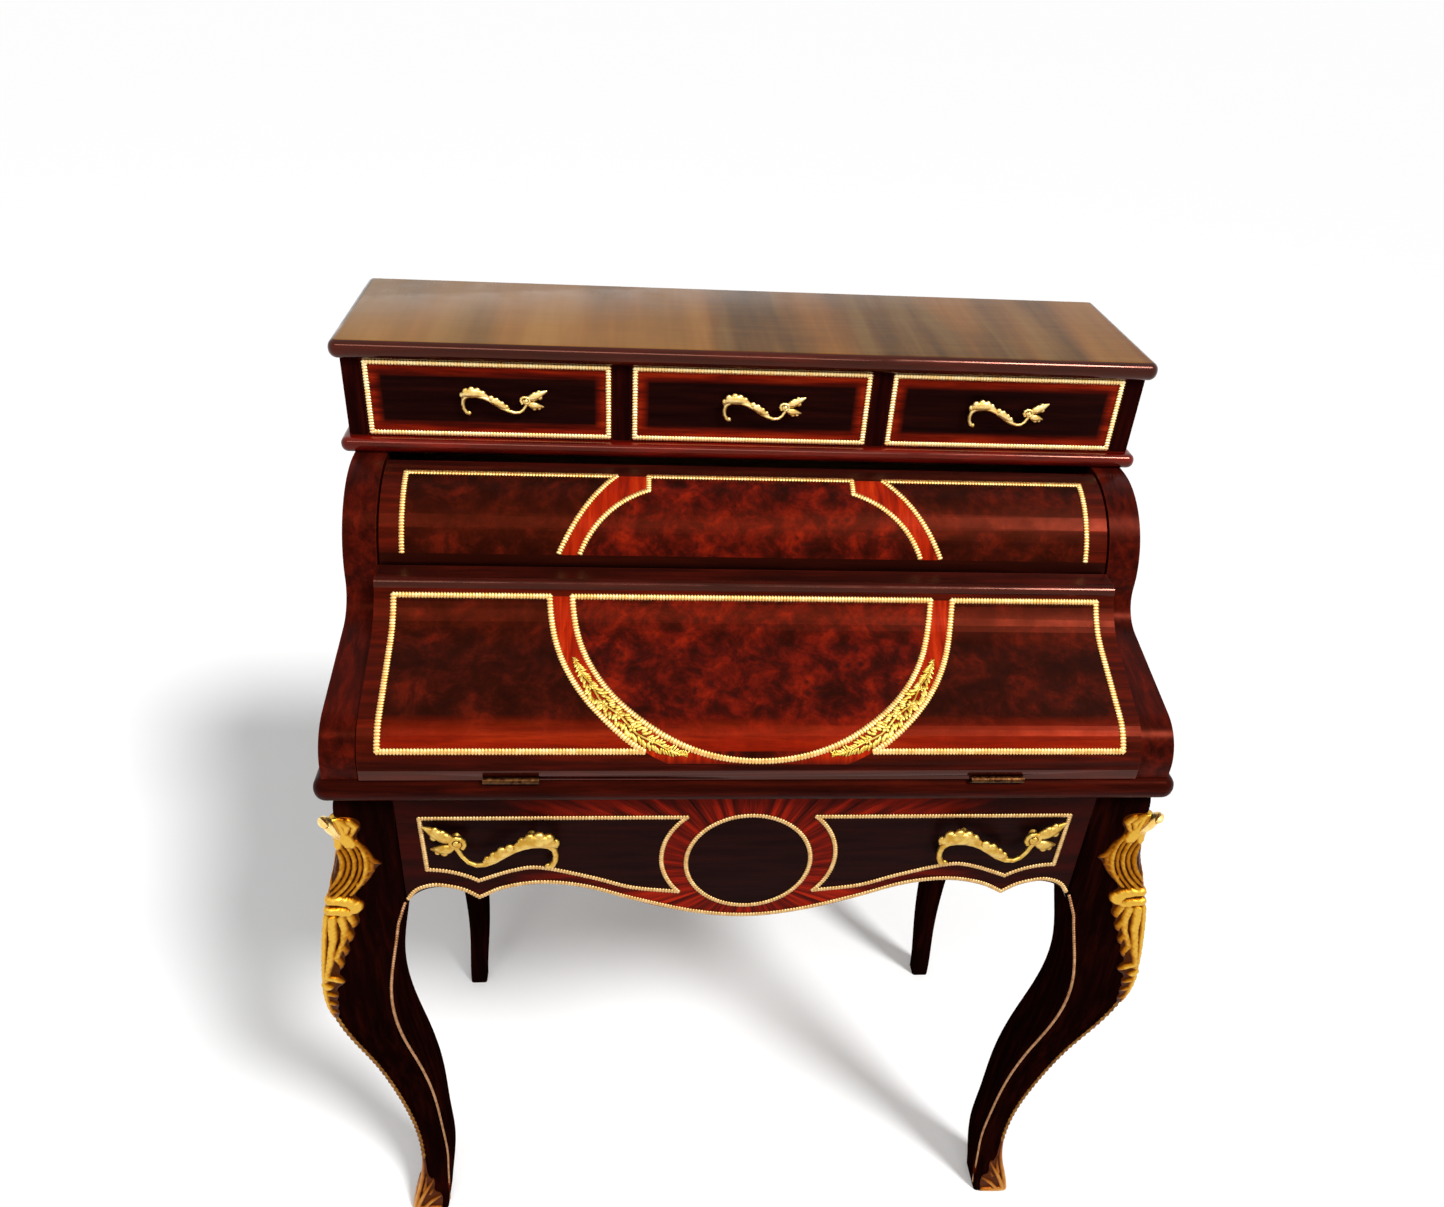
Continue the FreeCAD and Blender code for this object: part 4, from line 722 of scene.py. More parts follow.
def cylinder_runs():
    """Strands of the cylinder: side panels and medallion, down to the foot rail."""
    frame_x, top, end = CYLINDER_FRAME
    flat_x, notch = CYLINDER_INNER[0]
    half = [
        straight_run((frame_x, top), CYLINDER_OUTER[0]),
        straight_run((frame_x, top), (frame_x, end)),
        arc_through(CYLINDER_OUTER),
        straight_run((flat_x, top), (flat_x, notch)),
        arc_through(CYLINDER_INNER),
    ]
    above_rail = [[point for point in run if point[1] <= CYLINDER_RAIL] for run in half]
    return laid(on_cylinder, on_both_sides(above_rail) + [straight_run((-flat_x, top), (flat_x, top))])


def flap_runs():
    """Strands of the flap: side panels, outer ring and bowl."""
    frame_x, top, low = FLAP_FRAME
    inner, outer = FLAP_RINGS
    ends = [math.asin((along - FLAP_RING_CENTRE) / outer) for along in (top, low)]
    bowl_end = math.asin((top - FLAP_RING_CENTRE) / inner)
    ring = ring_run(outer, *ends)
    bowl = ring_run(inner, bowl_end, math.pi - bowl_end, 120)
    half = [
        straight_run((frame_x, top), ring[0]),
        ring,
        straight_run(ring[-1], (frame_x, low)),
        straight_run((frame_x, top), (frame_x, low)),
    ]
    return laid(on_flap, on_both_sides(half) + [bowl, straight_run(bowl[0], bowl[-1])])


def frieze_runs():
    """Strands of the frieze: side panels, rondel and scalloped edge."""
    half = [
        straight_run(*FRIEZE_TOP),
        arc_through(FRIEZE_BACK),
        curve_through(FRIEZE_LOW),
        arc_through(FRIEZE_END),
        straight_run(*FRIEZE_SIDE),
        curve_through(SCALLOP_END),
    ]
    middle = SCALLOP_MID + [(-x, z) for x, z in SCALLOP_MID[-2::-1]]
    rondel = ring_run(RONDEL_R, 0.0, math.tau, 120, (0, RONDEL_Z))
    return laid(on_frieze, on_both_sides(half) + [curve_through(middle), rondel])


def drawer_runs(middle):
    """Strands of the frame on a small drawer."""
    x = DRAWER_HALF - DRAWER_FRAME_INSET
    z = DRAWER_HALF_Z - DRAWER_FRAME_INSET
    turns = ((-1, -1), (1, -1), (1, 1), (-1, 1), (-1, -1))
    corners = [(middle + a * x, DRAWER_MIDDLE_Z + b * z) for a, b in turns]
    return laid(on_drawer, [straight_run(*side) for side in zip(corners, corners[1:])])


def limb(bm, path, radii, out, flat=1.0, sides=10):
    """Tapered limb along a path in millimetres, wide across and flat times as deep outward."""
    spots = [Vector(point) for point in path]
    ends = [2 * spots[0] - spots[1], *spots, 2 * spots[-1] - spots[-2]]
    rings = []
    for before, spot, after, radius in zip(ends, spots, ends[2:], radii):
        ahead = (after - before).normalized()
        across = out.cross(ahead).normalized()
        turn = Matrix((across, ahead.cross(across), ahead)).transposed().to_4x4()
        rings.append(Matrix.Translation(spot * MM) @ turn @ Matrix.Diagonal((radius, radius * flat, 1, 1)))
    small = bmesh.new()
    bmesh.ops.create_circle(small, cap_ends=True, segments=sides, radius=MM, matrix=rings[0])
    face = small.faces[:][0]
    for first, second in zip(rings, rings[1:]):
        grown = bmesh.ops.extrude_face_region(small, geom=[face], use_keep_orig=first is rings[0])["geom"]
        moved = [item for item in grown if isinstance(item, bmesh.types.BMVert)]
        face = next(item for item in grown if isinstance(item, bmesh.types.BMFace))
        bmesh.ops.transform(small, matrix=second @ first.inverted(), verts=moved)
    bmesh.ops.recalc_face_normals(small, faces=small.faces)
    mesh = bpy.data.meshes.new("limb")
    small.to_mesh(mesh)
    small.free()
    bm.from_mesh(mesh)
    bpy.data.meshes.remove(mesh)


# Pull drawn for the frieze: across, out from the front and up, in millimetres
PULL_STEM = [
    (-58, 7, -27), (-62, 8, -24), (-65.5, 9, -16), (-66.5, 10, -7), (-65, 11, 2), (-60, 13, 9),
    (-52, 14.5, 12), (-43, 15, 12), (-34, 15, 9.5), (-25, 14.5, 4.5), (-15, 14, -3), (-5, 13.5, -11),
    (5, 13, -16.5), (14, 12, -18.5), (22, 10.5, -16), (28, 9, -9.5), (32, 8, -1), (36, 7.5, 6),
]
PULL_STEM_R = [2.6, 3.4, 3.2, 3.2, 3.4, 3.4, 3.4, 3.4, 3.4, 3.2, 3.2, 3.2, 3.0, 2.8, 2.6, 2.6, 2.8, 3.0]
curl = (polar((33, 9), 9 - 0.45 * step, 4 - 0.6 * step) for step in range(14))
PULL_CURL = [(across, 9, up) for across, up in curl]
PULL_CURL_R = 2.6
PULL_LEAVES = [
    ([(-67, 10, 4), (-63, 12, 11), (-56, 14, 16), (-47, 15, 17.5), (-38, 14.5, 15), (-29, 14, 9),
      (-23, 14, 5)], [3, 6.5, 8.5, 9, 7.5, 5, 2.5]),
    ([(-26, 14.5, 5), (-19, 15, 4), (-11, 15, -1), (-3, 14, -8), (6, 13, -14)], [2.5, 5.5, 6.5, 5.5, 2.5]),
    ([(36, 8, 12), (43, 8.5, 16), (51, 7.5, 20), (58, 6, 23.5), (66, 4, 27)], [4, 7, 7, 5, 1.2]),
    ([(36, 8, 4), (43, 8.5, 1), (51, 7, -1.5), (60, 4, -4)], [4, 6.5, 5.5, 1.2]),
]
PULL_LOBES = [
    (-66, 11, 11, 5.4), (-60, 13, 19, 6.2), (-51, 14.5, 22.5, 6.4), (-42, 14.5, 21, 6.0),
    (-34, 14, 16, 5.4), (-21, 15, 8, 5.0), (-13, 15, 4, 5.2), (-5, 14.5, -2.5, 4.8), (2, 13.5, -8.5, 3.8),
    (46, 8.5, 22, 4.4), (53, 7.5, 26, 3.6), (55, 7, 15.5, 4.2), (46, 8, -5, 4.2), (53, 6.5, -6, 3.0),
    (-58, 7, -26, 3.8), (33, 9.5, 9, 4.0),
]
PULL_POSTS = [(-42, 13, 13), (34, 10, 7)]
PULL_POST_SHARES = (0.0, 0.4, 1.0)
PULL_POST_R = (4.6, 3.2, 2.8)
PULL_DROOP = (8, 24)


def pull(node, centre, side, scale, droop, gold):
    """Cast leaf pull: curled acanthus head, bowed stem with leaflets, rolled curl and forked leaf."""
    bm = bmesh.new()
    thick = (scale[0] + scale[2]) / 2

    def placed(across, out, up):
        """Point of the drawn pull on the drawer; its far end droops."""
        up -= droop * min(1.0, max(0.0, (across - PULL_DROOP[0]) / PULL_DROOP[1]))
        return centre + Vector((side * across * scale[0], -out * scale[1], up * scale[2]))

    def cast(spots, radii, out=FRONT, flat=1.0):
        """Limb of the drawn pull."""
        limb(bm, [placed(*spot) for spot in spots], [radius * thick for radius in radii], out, flat)

    cast(PULL_STEM, PULL_STEM_R)
    for path, radii in PULL_LEAVES:
        cast(curve_through(path, 3), tapered(radii, 3), flat=0.6)
    for *spot, size in PULL_LOBES:
        swell = Matrix.Diagonal((size * thick, 0.7 * size * thick, size * thick, 1))
        strewn(bm, lobe, Matrix.Translation(placed(*spot) * MM) @ swell)
    cast(PULL_CURL, [PULL_CURL_R] * len(PULL_CURL))
    for across, up, reach in PULL_POSTS:
        cast([(across, share * reach, up) for share in PULL_POST_SHARES], PULL_POST_R, Vector((0, 0, 1)))
    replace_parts(piece_of(node + "_cast", bm, body_of[node], "gilt_bronze", gold, smooth=60.0), node)


# Cast mounts on the front legs, in millimetres. Knee: drop below the desk top and half width of the outline
KNEE_EDGE = [
    (28, 6), (30, 13), (33, 18), (37, 21), (42, 22), (47, 21), (52, 18), (57, 17), (62, 20), (67, 24),
    (72, 27.5), (77, 30), (82, 32), (86, 34), (90, 38), (93, 40), (96, 36), (100, 34), (105, 32.5),
    (110, 30), (116, 26.5), (122, 22.5), (127, 20), (131, 20), (135, 23), (139, 26), (144, 27.5),
    (149, 26.5), (153, 24), (157, 23.5), (162, 25), (167, 24.5), (171, 21.5), (175, 21.5), (180, 23),
    (185, 22), (189, 19), (193, 19), (198, 20.5), (203, 19.5), (207, 16.5), (211, 16.5), (216, 17.5),
    (221, 16), (225, 13), (230, 13), (235, 16), (240, 18.5), (244, 17), (248, 12), (253, 10), (258, 11.5),
    (263, 11), (268, 8.5), (274, 9.5), (279, 8.5), (284, 6.5), (290, 7), (296, 5), (300, 3),
]
RIB_BOW = 34
RIB_MIDDLE = 94
RIB_DROPS = range(62, 127, 8)


def rib(at, size):
    """Curved rib of the cartouche, bowed away from the outer corner and crossing its middle at a distance."""
    return [(math.sqrt((at + RIB_BOW) ** 2 - (drop - RIB_MIDDLE) ** 2) - RIB_BOW, drop, size)
            for drop in RIB_DROPS]


# Raised strokes: fullness, then distance from the outer corner, drop and half width at each point
KNEE_STROKES = [
    (0.7, [(0, 34, 8), (0, 48, 9)]),
    (0.9, [(7, 33, 3), (11, 42, 3.4), (8, 52, 3)]),
    (0.9, [(13, 34, 3.2), (18, 42, 3.6), (14, 52, 3)]),
    (0.7, [(4, 52, 6), (9, 58, 6.5), (12, 64, 6)]),
    (0.7, [(0, 58, 6.5), (0, 66, 6)]),
    (1.0, rib(7, 2.2)),
    (1.0, rib(12, 1.9)),
    (1.0, rib(17, 2.3)),
    (1.0, rib(22, 1.9)),
    (1.1, rib(27, 2.6)),
    (0.9, rib(31.5, 2.2)),
    (0.9, [(31, 84, 3.2), (36, 90, 2.8), (39.5, 93, 1.6)]),
    (1.0, [(19, 66, 2.4), (24, 68, 2.2)]),
    (1.0, [(24, 72, 2.6), (28.5, 74, 2.2)]),
    (1.0, [(28, 80, 2.6), (32, 81.5, 2.2)]),
    (1.0, [(28, 99, 2.6), (33, 101, 2.2)]),
    (1.0, [(27, 107, 2.6), (31, 109, 2.2)]),
    (1.0, [(22, 115, 2.6), (26, 117, 2.2)]),
    (1.0, [(0, 130, 4.6), (9, 131, 4.6), (17, 136, 4.6), (22, 142, 4.8)]),
    (0.9, [(0, 142, 4.4), (9, 144, 4.4), (17, 149, 4)]),
    (1.0, [(22, 141, 5.4), (22.5, 146, 5.2)]),
    (1.0, [(0, 150, 4), (0, 200, 3.8), (0, 240, 3)]),
    (1.0, [(6, 152, 3.4), (8, 180, 3.2), (6, 212, 3), (3, 236, 2.6)]),
    (1.0, [(12, 153, 3.2), (15, 168, 3), (15, 184, 2.8), (11, 204, 2.6)]),
    (1.0, [(18, 154, 3), (21, 162, 2.8), (22, 168, 2.2)]),
    (1.0, [(16, 172, 2.8), (20, 180, 2.6), (20.5, 186, 2)]),
    (1.0, [(14, 190, 2.6), (18, 198, 2.4), (18, 203, 1.8)]),
    (1.0, [(11, 206, 2.5), (15, 215, 2.3), (15, 220, 1.8)]),
    (1.0, [(3, 230, 3), (11, 235, 3.2), (17, 240, 2.6)]),
    (1.0, [(0, 242, 4.2), (5, 246, 3.6)]),
    (1.0, [(0, 250, 3.8), (0, 280, 3.4), (0, 298, 2.2)]),
    (1.0, [(4, 256, 2.6), (9.5, 260, 2)]),
    (1.0, [(4, 271, 2.5), (8, 275, 1.8)]),
    (1.0, [(2, 285, 2.2), (5.5, 290, 1.6)]),
]
# Foot: distance from the outer corner and height of the outline, and strokes by height
SABOT_TIPS = [
    (0, 118), (2, 100), (4, 78), (6, 64), (9, 58), (12, 54), (15, 55), (17, 51), (18.5, 44), (20, 36),
    (23, 32), (27, 31), (30, 29), (33, 24), (35, 16),
]
SABOT_STROKES = [
    (0.8, [(0, 6, 4.6), (0, 60, 3.8), (0, 114, 1.8)]),
    (1.0, [(4, 6, 3.4), (9, 32, 3.2), (15.5, 52, 1.8)]),
    (1.0, [(12, 6, 3.4), (20, 17, 3.2), (31, 27, 1.8)]),
    (1.0, [(7, 36, 2.4), (7, 48, 2.0), (6, 60, 1.4)]),
    (1.0, [(16, 30, 2.4), (19, 38, 1.6)]),
    (0.9, [(0, 5, 4.4), (16, 5, 4.2), (34, 5, 3.4)]),
]


def table_at(table, place):
    """Value between the entries of a table."""
    for (a, first), (b, second) in zip(table, table[1:]):
        if place <= b:
            return first + (second - first) * max(0.0, place - a) / (b - a)
    return table[-1][1]


def cast_height(strokes, a, d):
    """Height of a cast face at a point: the highest of its rounded strokes."""
    height = 0.0
    for flat, stroke in strokes:
        for (a0, d0, r0), (a1, d1, r1) in zip(stroke, stroke[1:]):
            run_a, run_d = a1 - a0, d1 - d0
            share = ((a - a0) * run_a + (d - d0) * run_d) / (run_a * run_a + run_d * run_d)
            share = min(1.0, max(0.0, share))
            r = r0 + (r1 - r0) * share
            gap = math.hypot(a - a0 - run_a * share, d - d0 - run_d * share)
            if gap < r:
                height = max(height, flat * math.sqrt(r * r - gap * gap))
    return height


ACROSS = Vector((1, 1, 0)).normalized()
OUTWARD = Vector((1, -1, 0)).normalized()
CLEAR_OF_LEG = 120
LOWEST_CUT = 0.5
CORNER_ROUND, CORNER_LEAN = 12, 0.8
# Cast sheets: depth of the back, thickness of the edge, and the heights over which the gold turns from
# painted shade to painted highlight
CAST_BACK, CAST_EDGE, CAST_LOW, CAST_RISE = -0.4, 0.5, 1.2, 3.2


def surface_of(name):
    """Finder of points round the outer corner of the right front leg, by distance and height."""
    bm = bmesh.new()
    bm.from_mesh(solids[name].data)
    tree = BVHTree.FromBMesh(bm)
    bm.free()

    def find(side, z):
        """Point and outward direction on the leg."""
        start = Vector((*LEG_CORNER, max(z, LOWEST_CUT))) + OUTWARD * CLEAR_OF_LEG
        start += ACROSS * side * math.sin(SQUARE / 2)
        hit = tree.ray_cast(start * MM, -OUTWARD)[0] / MM
        hit.z = z
        lean = max(-1.0, min(1.0, side / CORNER_ROUND))
        return hit, (OUTWARD + ACROSS * lean * CORNER_LEAN).normalized()

    return find


def to_left(bm):
    """Mirrors a right-hand shape to the left."""
    bmesh.ops.scale(bm, vec=(-1, 1, 1), verts=bm.verts)
    bmesh.ops.reverse_faces(bm, faces=bm.faces)


def cast_sheet(name, node, surface, spread, gold, columns, rows):
    """Closed cast sheet over the leg's corner, raised by its strokes; made for the right leg and mirrored."""
    bm = bmesh.new()
    bmesh.ops.create_grid(bm, x_segments=columns, y_segments=rows, size=1.0)
    rise = bm.verts.layers.float.new("rise")
    outer = bmesh.ops.extrude_face_region(bm, geom=bm.faces[:], use_keep_orig=True)["geom"]
    raised = {item for item in outer if isinstance(item, bmesh.types.BMVert)}
    for vert in bm.verts:
        side, level, height = spread(vert.co.x, (vert.co.y + 1) / 2)
        point, out = surface(side, level)
        vert[rise] = (height - CAST_LOW) / CAST_RISE
        vert.co = (point + out * (height if vert in raised else CAST_BACK)) * MM
    bmesh.ops.recalc_face_normals(bm, faces=bm.faces)
    for hand in ("_right", "_left"):
        half = bm.copy()
        if hand == "_left":
            to_left(half)
        made = piece_of(name + hand, half, body_of[node + hand], "gilt_bronze", gold, smooth=70.0)
        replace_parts(made, node + hand)
    bm.free()


def knee_spread(across, share):
    """Place and height on the knee mount: thin at its edge, with a slight crinkle over the strokes."""
    drop = KNEE_EDGE[0][0] + (KNEE_EDGE[-1][0] - KNEE_EDGE[0][0]) * (1 - share)
    side = across * table_at(KNEE_EDGE, drop)
    base = CAST_EDGE + 0.9 * (1 - across ** 8)
    crinkle = 1 + 0.1 * math.sin(1.1 * abs(side) + 0.3 * drop) * math.sin(0.8 * drop - 0.45 * abs(side))
    height = cast_height(KNEE_STROKES, abs(side), drop) * crinkle
    return side, LEG_TOP_Z - drop, base + height * (1 - 0.4 * across ** 8)


def sabot_spread(across, share):
    """Place and height on the foot mount."""
    side = across * SABOT_TIPS[-1][0]
    z = share * table_at(SABOT_TIPS, abs(side))
    return side, z, CAST_EDGE + cast_height(SABOT_STROKES, abs(side), z)


# Dress the solids
paint(mahogany_nosing, "case_floor")
paint(mahogany_desk, "desk_top")
paint(mahogany_upright, "case_dividers", *pair("case_side"), *pair("side_apron"))
paint(mahogany_cheek, *pair("cheek"))
paint(mahogany_deep, "nest_shelf", "nest_dividers", "cylinder_stops", *pair("cylinder_arm"))
paint(mahogany_leg, *pair("leg_front"), *pair("leg_rear"))
paint(oak_across, "back_panel", "back_rail")
paint(oak, "drawer_runners", "frieze_sides", "frieze_bottom")
paint(hinge_brass(), "cylinder_pivots", "hinge_fixed_leaves", "hinge_moving_leaves", "hinge_pins")
paint(writing_leather(), "flap_leather")
paint(frieze_veneer(), "frieze_front")
drawer_front = drawer_veneer()
for name in DRAWERS:
    paint(drawer_front, name + "_front")
    paint(oak, name + "_sides", name + "_bottom")

flap_out = Vector((0, *polar((0, 0), 1, FLAP_SLOPE + SQUARE)))
cylinder_middle = Vector((0, *CYLINDER_AXIS)) * MM
# Limits of a face's direction: an end, the flap's front, the top of its lip, and the face of the top board
END, FLAP_FRONT, LIP_TOP, BOARD_FACE = 0.5, 0.05, 0.86, 0.97


def cylinder_part(face):
    """Veneered front, or the plain back and ends."""
    faces_out = (face.calc_center_median() - cylinder_middle).dot(face.normal) > 0
    return 0 if faces_out and abs(face.normal.x) < END else 1


def flap_part(face):
    """Veneered front, the plain back and ends, the lip's rounded front, its top, or the foot at the hinge."""
    if face.normal.dot(flap_out) < FLAP_FRONT or abs(face.normal.x) > END:
        return 1
    along = flap_along(*(face.calc_center_median() / MM).yz)
    if along > 0:
        return 0 if along < FLAP_FOOT else 4
    return 2 if face.normal.z < LIP_TOP else 3


def top_part(face):
    """Veneered face of the top board, or its moulded edge and underside."""
    return 0 if face.normal.z > BOARD_FACE else 1


veneered("top_board", "polished_mahogany", lambda y, z: y, top_part, top_veneer(), mahogany_edge)
veneered("cylinder_panel", "burl_mahogany", cylinder_along, cylinder_part, cylinder_veneer(), mahogany_deep)
veneered("flap_panel", "burl_mahogany", flap_along, flap_part,
         flap_veneer(), mahogany_deep, mahogany_edge, mahogany_deep, mahogany_desk)


def leg_line_runs():
    """Middle line of the strand on each front leg, carried up to the frieze and down to the foot."""
    spots = [vert.co / MM for vert in solids["leg_stringing"].data.vertices if vert.co.x > 0]
    spots.sort(key=lambda spot: -spot.z)
    # Eight corners to each section of the strand, after the first cap's own four
    line = [sum(spots[at:at + 8], Vector()) / 8 for at in range(4, len(spots) - 8, 8)]
    foot = line[-1] + (line[-1] - line[-2]).normalized() * LEG_LINE_FOOT
    whole = curve_through([*LEG_LINE_JOINT, *line[2:], foot], 6)
    return [[(Vector((side * spot.x, spot.y, spot.z)), FRONT) for spot in whole] for side in (1, -1)]


beaded("cylinder_beading", "cylinder_stringing", cylinder_runs(), gilt_beading)
beaded("flap_beading", "flap_stringing", flap_runs(), gilt_beading, half_width=3.7)
beaded("frieze_beading", "frieze_stringing", frieze_runs(), frieze_gilt, half_width=2.9)
for index, name in enumerate(DRAWERS):
    beaded(name + "_beading", name + "_frame", drawer_runs((index - 1) * DRAWER_PITCH), pale_beading)
beaded("leg_line_beading", "leg_stringing", leg_line_runs(), leg_gilt, half_width=2.0, narrowing=0.0012)
for x, name in zip(DRAWER_PULL_X, DRAWERS):
    pull(name + "_pull", on_drawer(x, DRAWER_PULL_Z)[0], 1, (0.657, 0.7, 0.574), 8.0, upper_ormolu)
for side, hand in ((1, "_right"), (-1, "_left")):
    middle = on_frieze(side * FRIEZE_PULL[0], FRIEZE_PULL[1])[0]
    pull("frieze_pull" + hand, middle, side, (1.0, 1.0, 1.0), 0.0, ormolu)

# Ramps run from brown painted shade in the grooves to pale painted highlight on the ribs
knee_gold = relief_ormolu(
    "gilt_bronze_cast_knees", [(0.1, "#421c02"), (0.4, "#824608"), (0.7, "#ae7012"), (1.0, "#d8a83e")])
foot_gold = relief_ormolu(
    "worn_gilt_bronze_feet", [(0.1, "#4e2208"), (0.4, "#8a4a14"), (0.7, "#b0702a"), (1.0, "#d09a56")])
leg_surface = surface_of("leg_front_right")
cast_sheet("knee_mount_cast", "knee_mount", leg_surface, knee_spread, knee_gold, 96, 230)
cast_sheet("sabot_leaves", "sabot", leg_surface, sabot_spread, foot_gold, 80, 60)

# Scroll over the knee, out from the corner and down from the desk top, and the chain's beads by turns
KNEE_SCROLL = [(0, 56), (3, 48), (6, 41), (8, 35), (9.5, 30.5), (12.5, 28.5), (14, 31.5)]
KNEE_SCROLL_R = (6, 8.5, 9.5, 9.5, 9, 8, 6)
KNEE_SCROLL_ROOT = 40
CHAIN_BEADS = ((3.0, 2.6, 2.2), (4.0, 3.4, 3.0))


def knee_scrolls():
    """Curled scroll at the top of each knee mount, and the chain of leaf beads down to the foot."""
    root = leg_surface(0, LEG_TOP_Z - KNEE_SCROLL_ROOT)[0]
    path = [root + OUTWARD * out + Vector((0, 0, LEG_TOP_Z - drop - root.z)) for out, drop in KNEE_SCROLL]
    chain = [(leg_surface(0, z)[0], OUTWARD) for z in range(CHAIN_TOP_Z, CHAIN_LOW_Z, -6)]
    for hand in ("_right", "_left"):
        scroll, links = bmesh.new(), bmesh.new()
        limb(scroll, curve_through(path, 4), tapered(KNEE_SCROLL_R, 4), OUTWARD, flat=0.6, sides=16)
        for index, (point, heading, out) in enumerate(spaced(chain, CHAIN_PITCH)):
            strewn(links, lobe, turned(point, heading, out) @ Matrix.Diagonal((*CHAIN_BEADS[index % 2], 1)))
        if hand == "_left":
            to_left(scroll)
            to_left(links)
        piece_of("knee_scroll" + hand, scroll, "carcass", "gilt_bronze", upper_ormolu, smooth=60.0)
        piece_of("corner_chain" + hand, links, "carcass", "gilt_bronze", chain_gilt, smooth=60.0)


knee_scrolls()

# Foliage: pairs of leaves, half width, place and drop of its bend, and place and size of its flowers
LEAF_PAIRS = 60
FOLIAGE_HALF = 10.5
FOLIAGE_BEND, FOLIAGE_DROP = 0.72, -6.0
FLOWERS = ((0.24, 1.8), (0.38, 2.5), (0.5, 2.9), (0.62, 2.5), (0.76, 1.8))
PETALS = 5
SPRIG_STEPS, SPRIG_R = 24, 1.3


def foliage(hand, side):
    """Openwork spray of leaves and flowers between the two rings of the flap."""
    bm = bmesh.new()
    drawn = random.Random(7)
    middle = (FLAP_RINGS[0] + FLAP_RINGS[1]) / 2

    def spot(share, off):
        """Point and outward direction along the spray, off its middle line."""
        turn = FOLIAGE_SPAN[0] + (FOLIAGE_SPAN[1] - FOLIAGE_SPAN[0]) * share
        bend = FOLIAGE_DROP * max(0.0, (share - FOLIAGE_BEND) / (1 - FOLIAGE_BEND)) ** 2
        x, along = polar((0, FLAP_RING_CENTRE), middle + bend + off, turn)
        return on_flap(side * x, along)

    sprig = [spot(step / SPRIG_STEPS, 1.5 * math.sin(step * 0.9))[0] + spot(step / SPRIG_STEPS, 0)[1]
             for step in range(SPRIG_STEPS + 1)]
    limb(bm, sprig, [SPRIG_R] * len(sprig), flap_out, sides=6)
    for step in range(LEAF_PAIRS):
        share = (step + 0.5) / LEAF_PAIRS
        taper = min(1.0, 0.04 + 3.0 * min(share, 1 - share))
        slim = 0.55 + 0.45 * taper
        for edge in (-1, 1):
            point, out = spot(share, edge * FOLIAGE_HALF * taper * drawn.uniform(0.35, 0.75))
            ahead = spot(share + 0.01, 0)[0] - spot(share - 0.01, 0)[0]
            heading = (Matrix.Rotation(side * edge * drawn.uniform(0.5, 1.3), 3, out) @ ahead).normalized()
            size = (drawn.uniform(3.2, 4.6), slim * drawn.uniform(1.6, 2.3), drawn.uniform(1.0, 1.6))
            lift = out * drawn.uniform(0.5, 1.3)
            strewn(bm, bead, turned(point + lift, heading, out) @ Matrix.Diagonal((*size, 1)))
    for share, size in FLOWERS:
        point, out = spot(share, drawn.uniform(-2, 2))
        ahead = spot(share + 0.01, 0)[0] - point
        for petal in range(PETALS):
            heading = (Matrix.Rotation(math.tau * petal / PETALS, 3, out) @ ahead).normalized()
            heading = (heading - out * heading.dot(out)).normalized()
            strewn(bm, bead, turned(point + heading * size * 1.1 + out * 1.4, heading, out)
                   @ Matrix.Diagonal((size, size * 0.75, 1.1, 1)))
        strewn(bm, bead, Matrix.Translation((point + out * 1.9) * MM) @ Matrix.Scale(1.4, 4))
    made = piece_of("flap_foliage" + hand, bm, "flap", "gilt_bronze", pale_ormolu, smooth=60.0)
    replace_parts(made, "flap_mount" + hand)


foliage("_right", 1)
foliage("_left", -1)
for mesh in (bead, lobe):
    bpy.data.meshes.remove(mesh)


# Stage
def light_of_sight(tree, low, high):
    """High for rays that see the stage, also in gloss and glass, and low for the light that it gives."""
    rays = add(tree, "LightPath").outputs
    seen = rays["Is Camera Ray"]
    for kind in ("Is Glossy Ray", "Is Transmission Ray"):
        seen = add(tree, "Math", {0: seen, 1: rays[kind]}, operation="MAXIMUM")
    return add(tree, "MapRange", {"Value": seen, "To Min": low, "To Max": high})


WHITE = (1, 1, 1, 1)
FLOOR_HALF = 40.0
FLOOR_GLOW = 0.12
SKY_LIGHT = 0.3

floor_bm = bmesh.new()
bmesh.ops.create_grid(floor_bm, x_segments=1, y_segments=1, size=FLOOR_HALF)
floor_mesh = bpy.data.meshes.new("floor")
floor_bm.to_mesh(floor_mesh)
floor_bm.free()
floor = bpy.data.objects.new("floor", floor_mesh)
bpy.context.scene.collection.objects.link(floor)
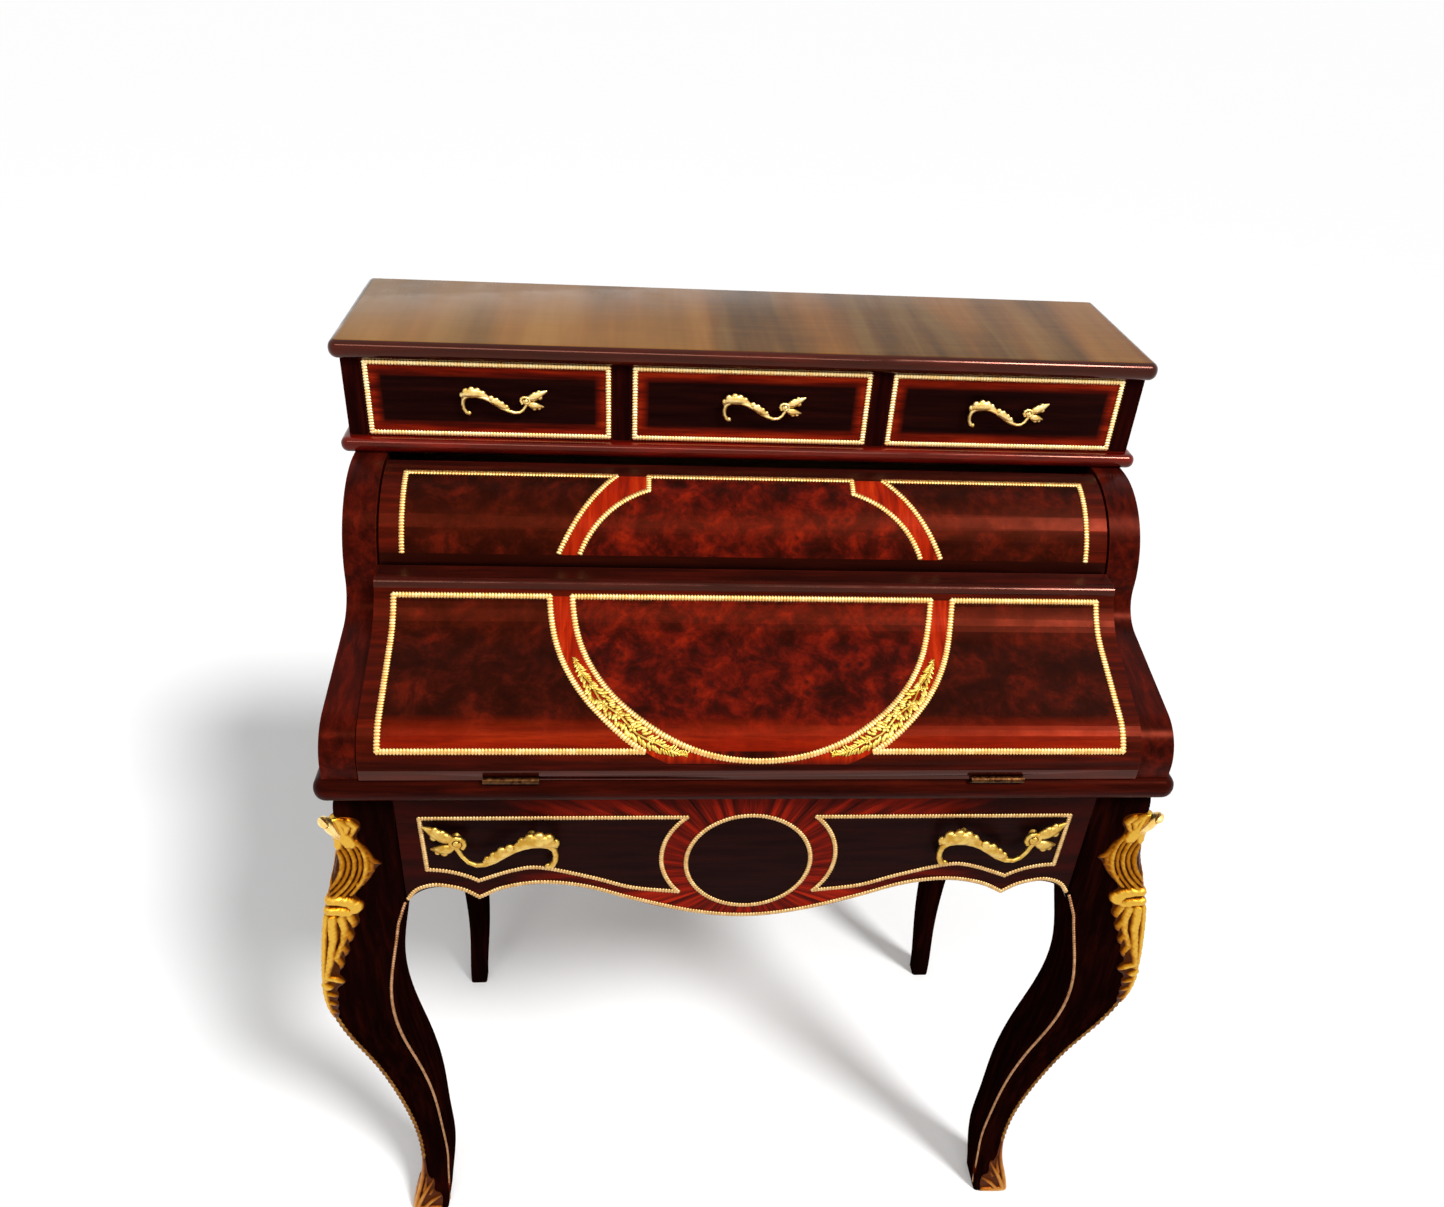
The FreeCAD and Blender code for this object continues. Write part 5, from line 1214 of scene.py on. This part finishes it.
# Pale studio floor: matt white paint that fades to the white behind
pale, pale_tree, pale_shader = finish_of("matt_white_floor", 0.9, 0.0)
fed(pale_shader, {
    "Base Color": srgb("#f4f4f4"), "Emission Color": WHITE,
    "Emission Strength": light_of_sight(pale_tree, 0.0, FLOOR_GLOW)})
floor_mesh.materials.append(pale)

world = bpy.data.worlds.new("studio")
bpy.context.scene.world = world
world.use_nodes = True
sky = world.node_tree
fed(sky.nodes["Background"], {"Color": WHITE, "Strength": light_of_sight(sky, SKY_LIGHT, 1.0)})


def lamp(name, kind, place, aim, energy, **shape):
    """Lamp at a place in metres, aimed at a point."""
    data = bpy.data.lights.new(name, kind)
    data.energy = energy
    for key, value in shape.items():
        setattr(data, key, value)
    made = bpy.data.objects.new(name, data)
    made.location = place
    made.rotation_mode = "QUATERNION"
    made.rotation_quaternion = (Vector(aim) - Vector(place)).to_track_quat("-Z", "Y")
    bpy.context.scene.collection.objects.link(made)


lamp("key_light", "SUN", (2.0, -2.2, 4.0), (0, 0, 0.5), 2.7, angle=math.radians(12))
lamp("front_softbox", "AREA", (-0.4, -2.0, 3.2), (0, 0, 0.9), 34, shape="RECTANGLE", size=2.6, size_y=0.5)

# Camera, for an image of 1444 by 1207, with its place in millimetres and its turns in radians
FOCAL_PX = 1118.2064
IMAGE_W = 1444
CAMERA_PLACE = Vector((-128.2126, -1055.6907, 1524.0778))
YAW, PITCH, ROLL = 0.0984215, 0.5717409, 0.0639394
right = Vector((math.cos(YAW), -math.sin(YAW), 0))
ahead = Vector((math.sin(YAW) * math.cos(PITCH), math.cos(YAW) * math.cos(PITCH), -math.sin(PITCH)))
up = right.cross(ahead)
tilt_x = right * math.cos(ROLL) + up * math.sin(ROLL)
tilt_y = up * math.cos(ROLL) - right * math.sin(ROLL)
lens = bpy.data.cameras.new("camera")
lens.sensor_fit = "HORIZONTAL"
lens.sensor_width = 36.0
lens.lens = FOCAL_PX * lens.sensor_width / IMAGE_W
camera = bpy.data.objects.new("camera", lens)
tilt = Matrix((tilt_x, tilt_y, -ahead)).transposed().to_4x4()
camera.matrix_world = Matrix.Translation(CAMERA_PLACE * MM) @ tilt
bpy.context.scene.collection.objects.link(camera)
bpy.context.scene.camera = camera
bpy.context.scene.view_settings.view_transform = "Standard"
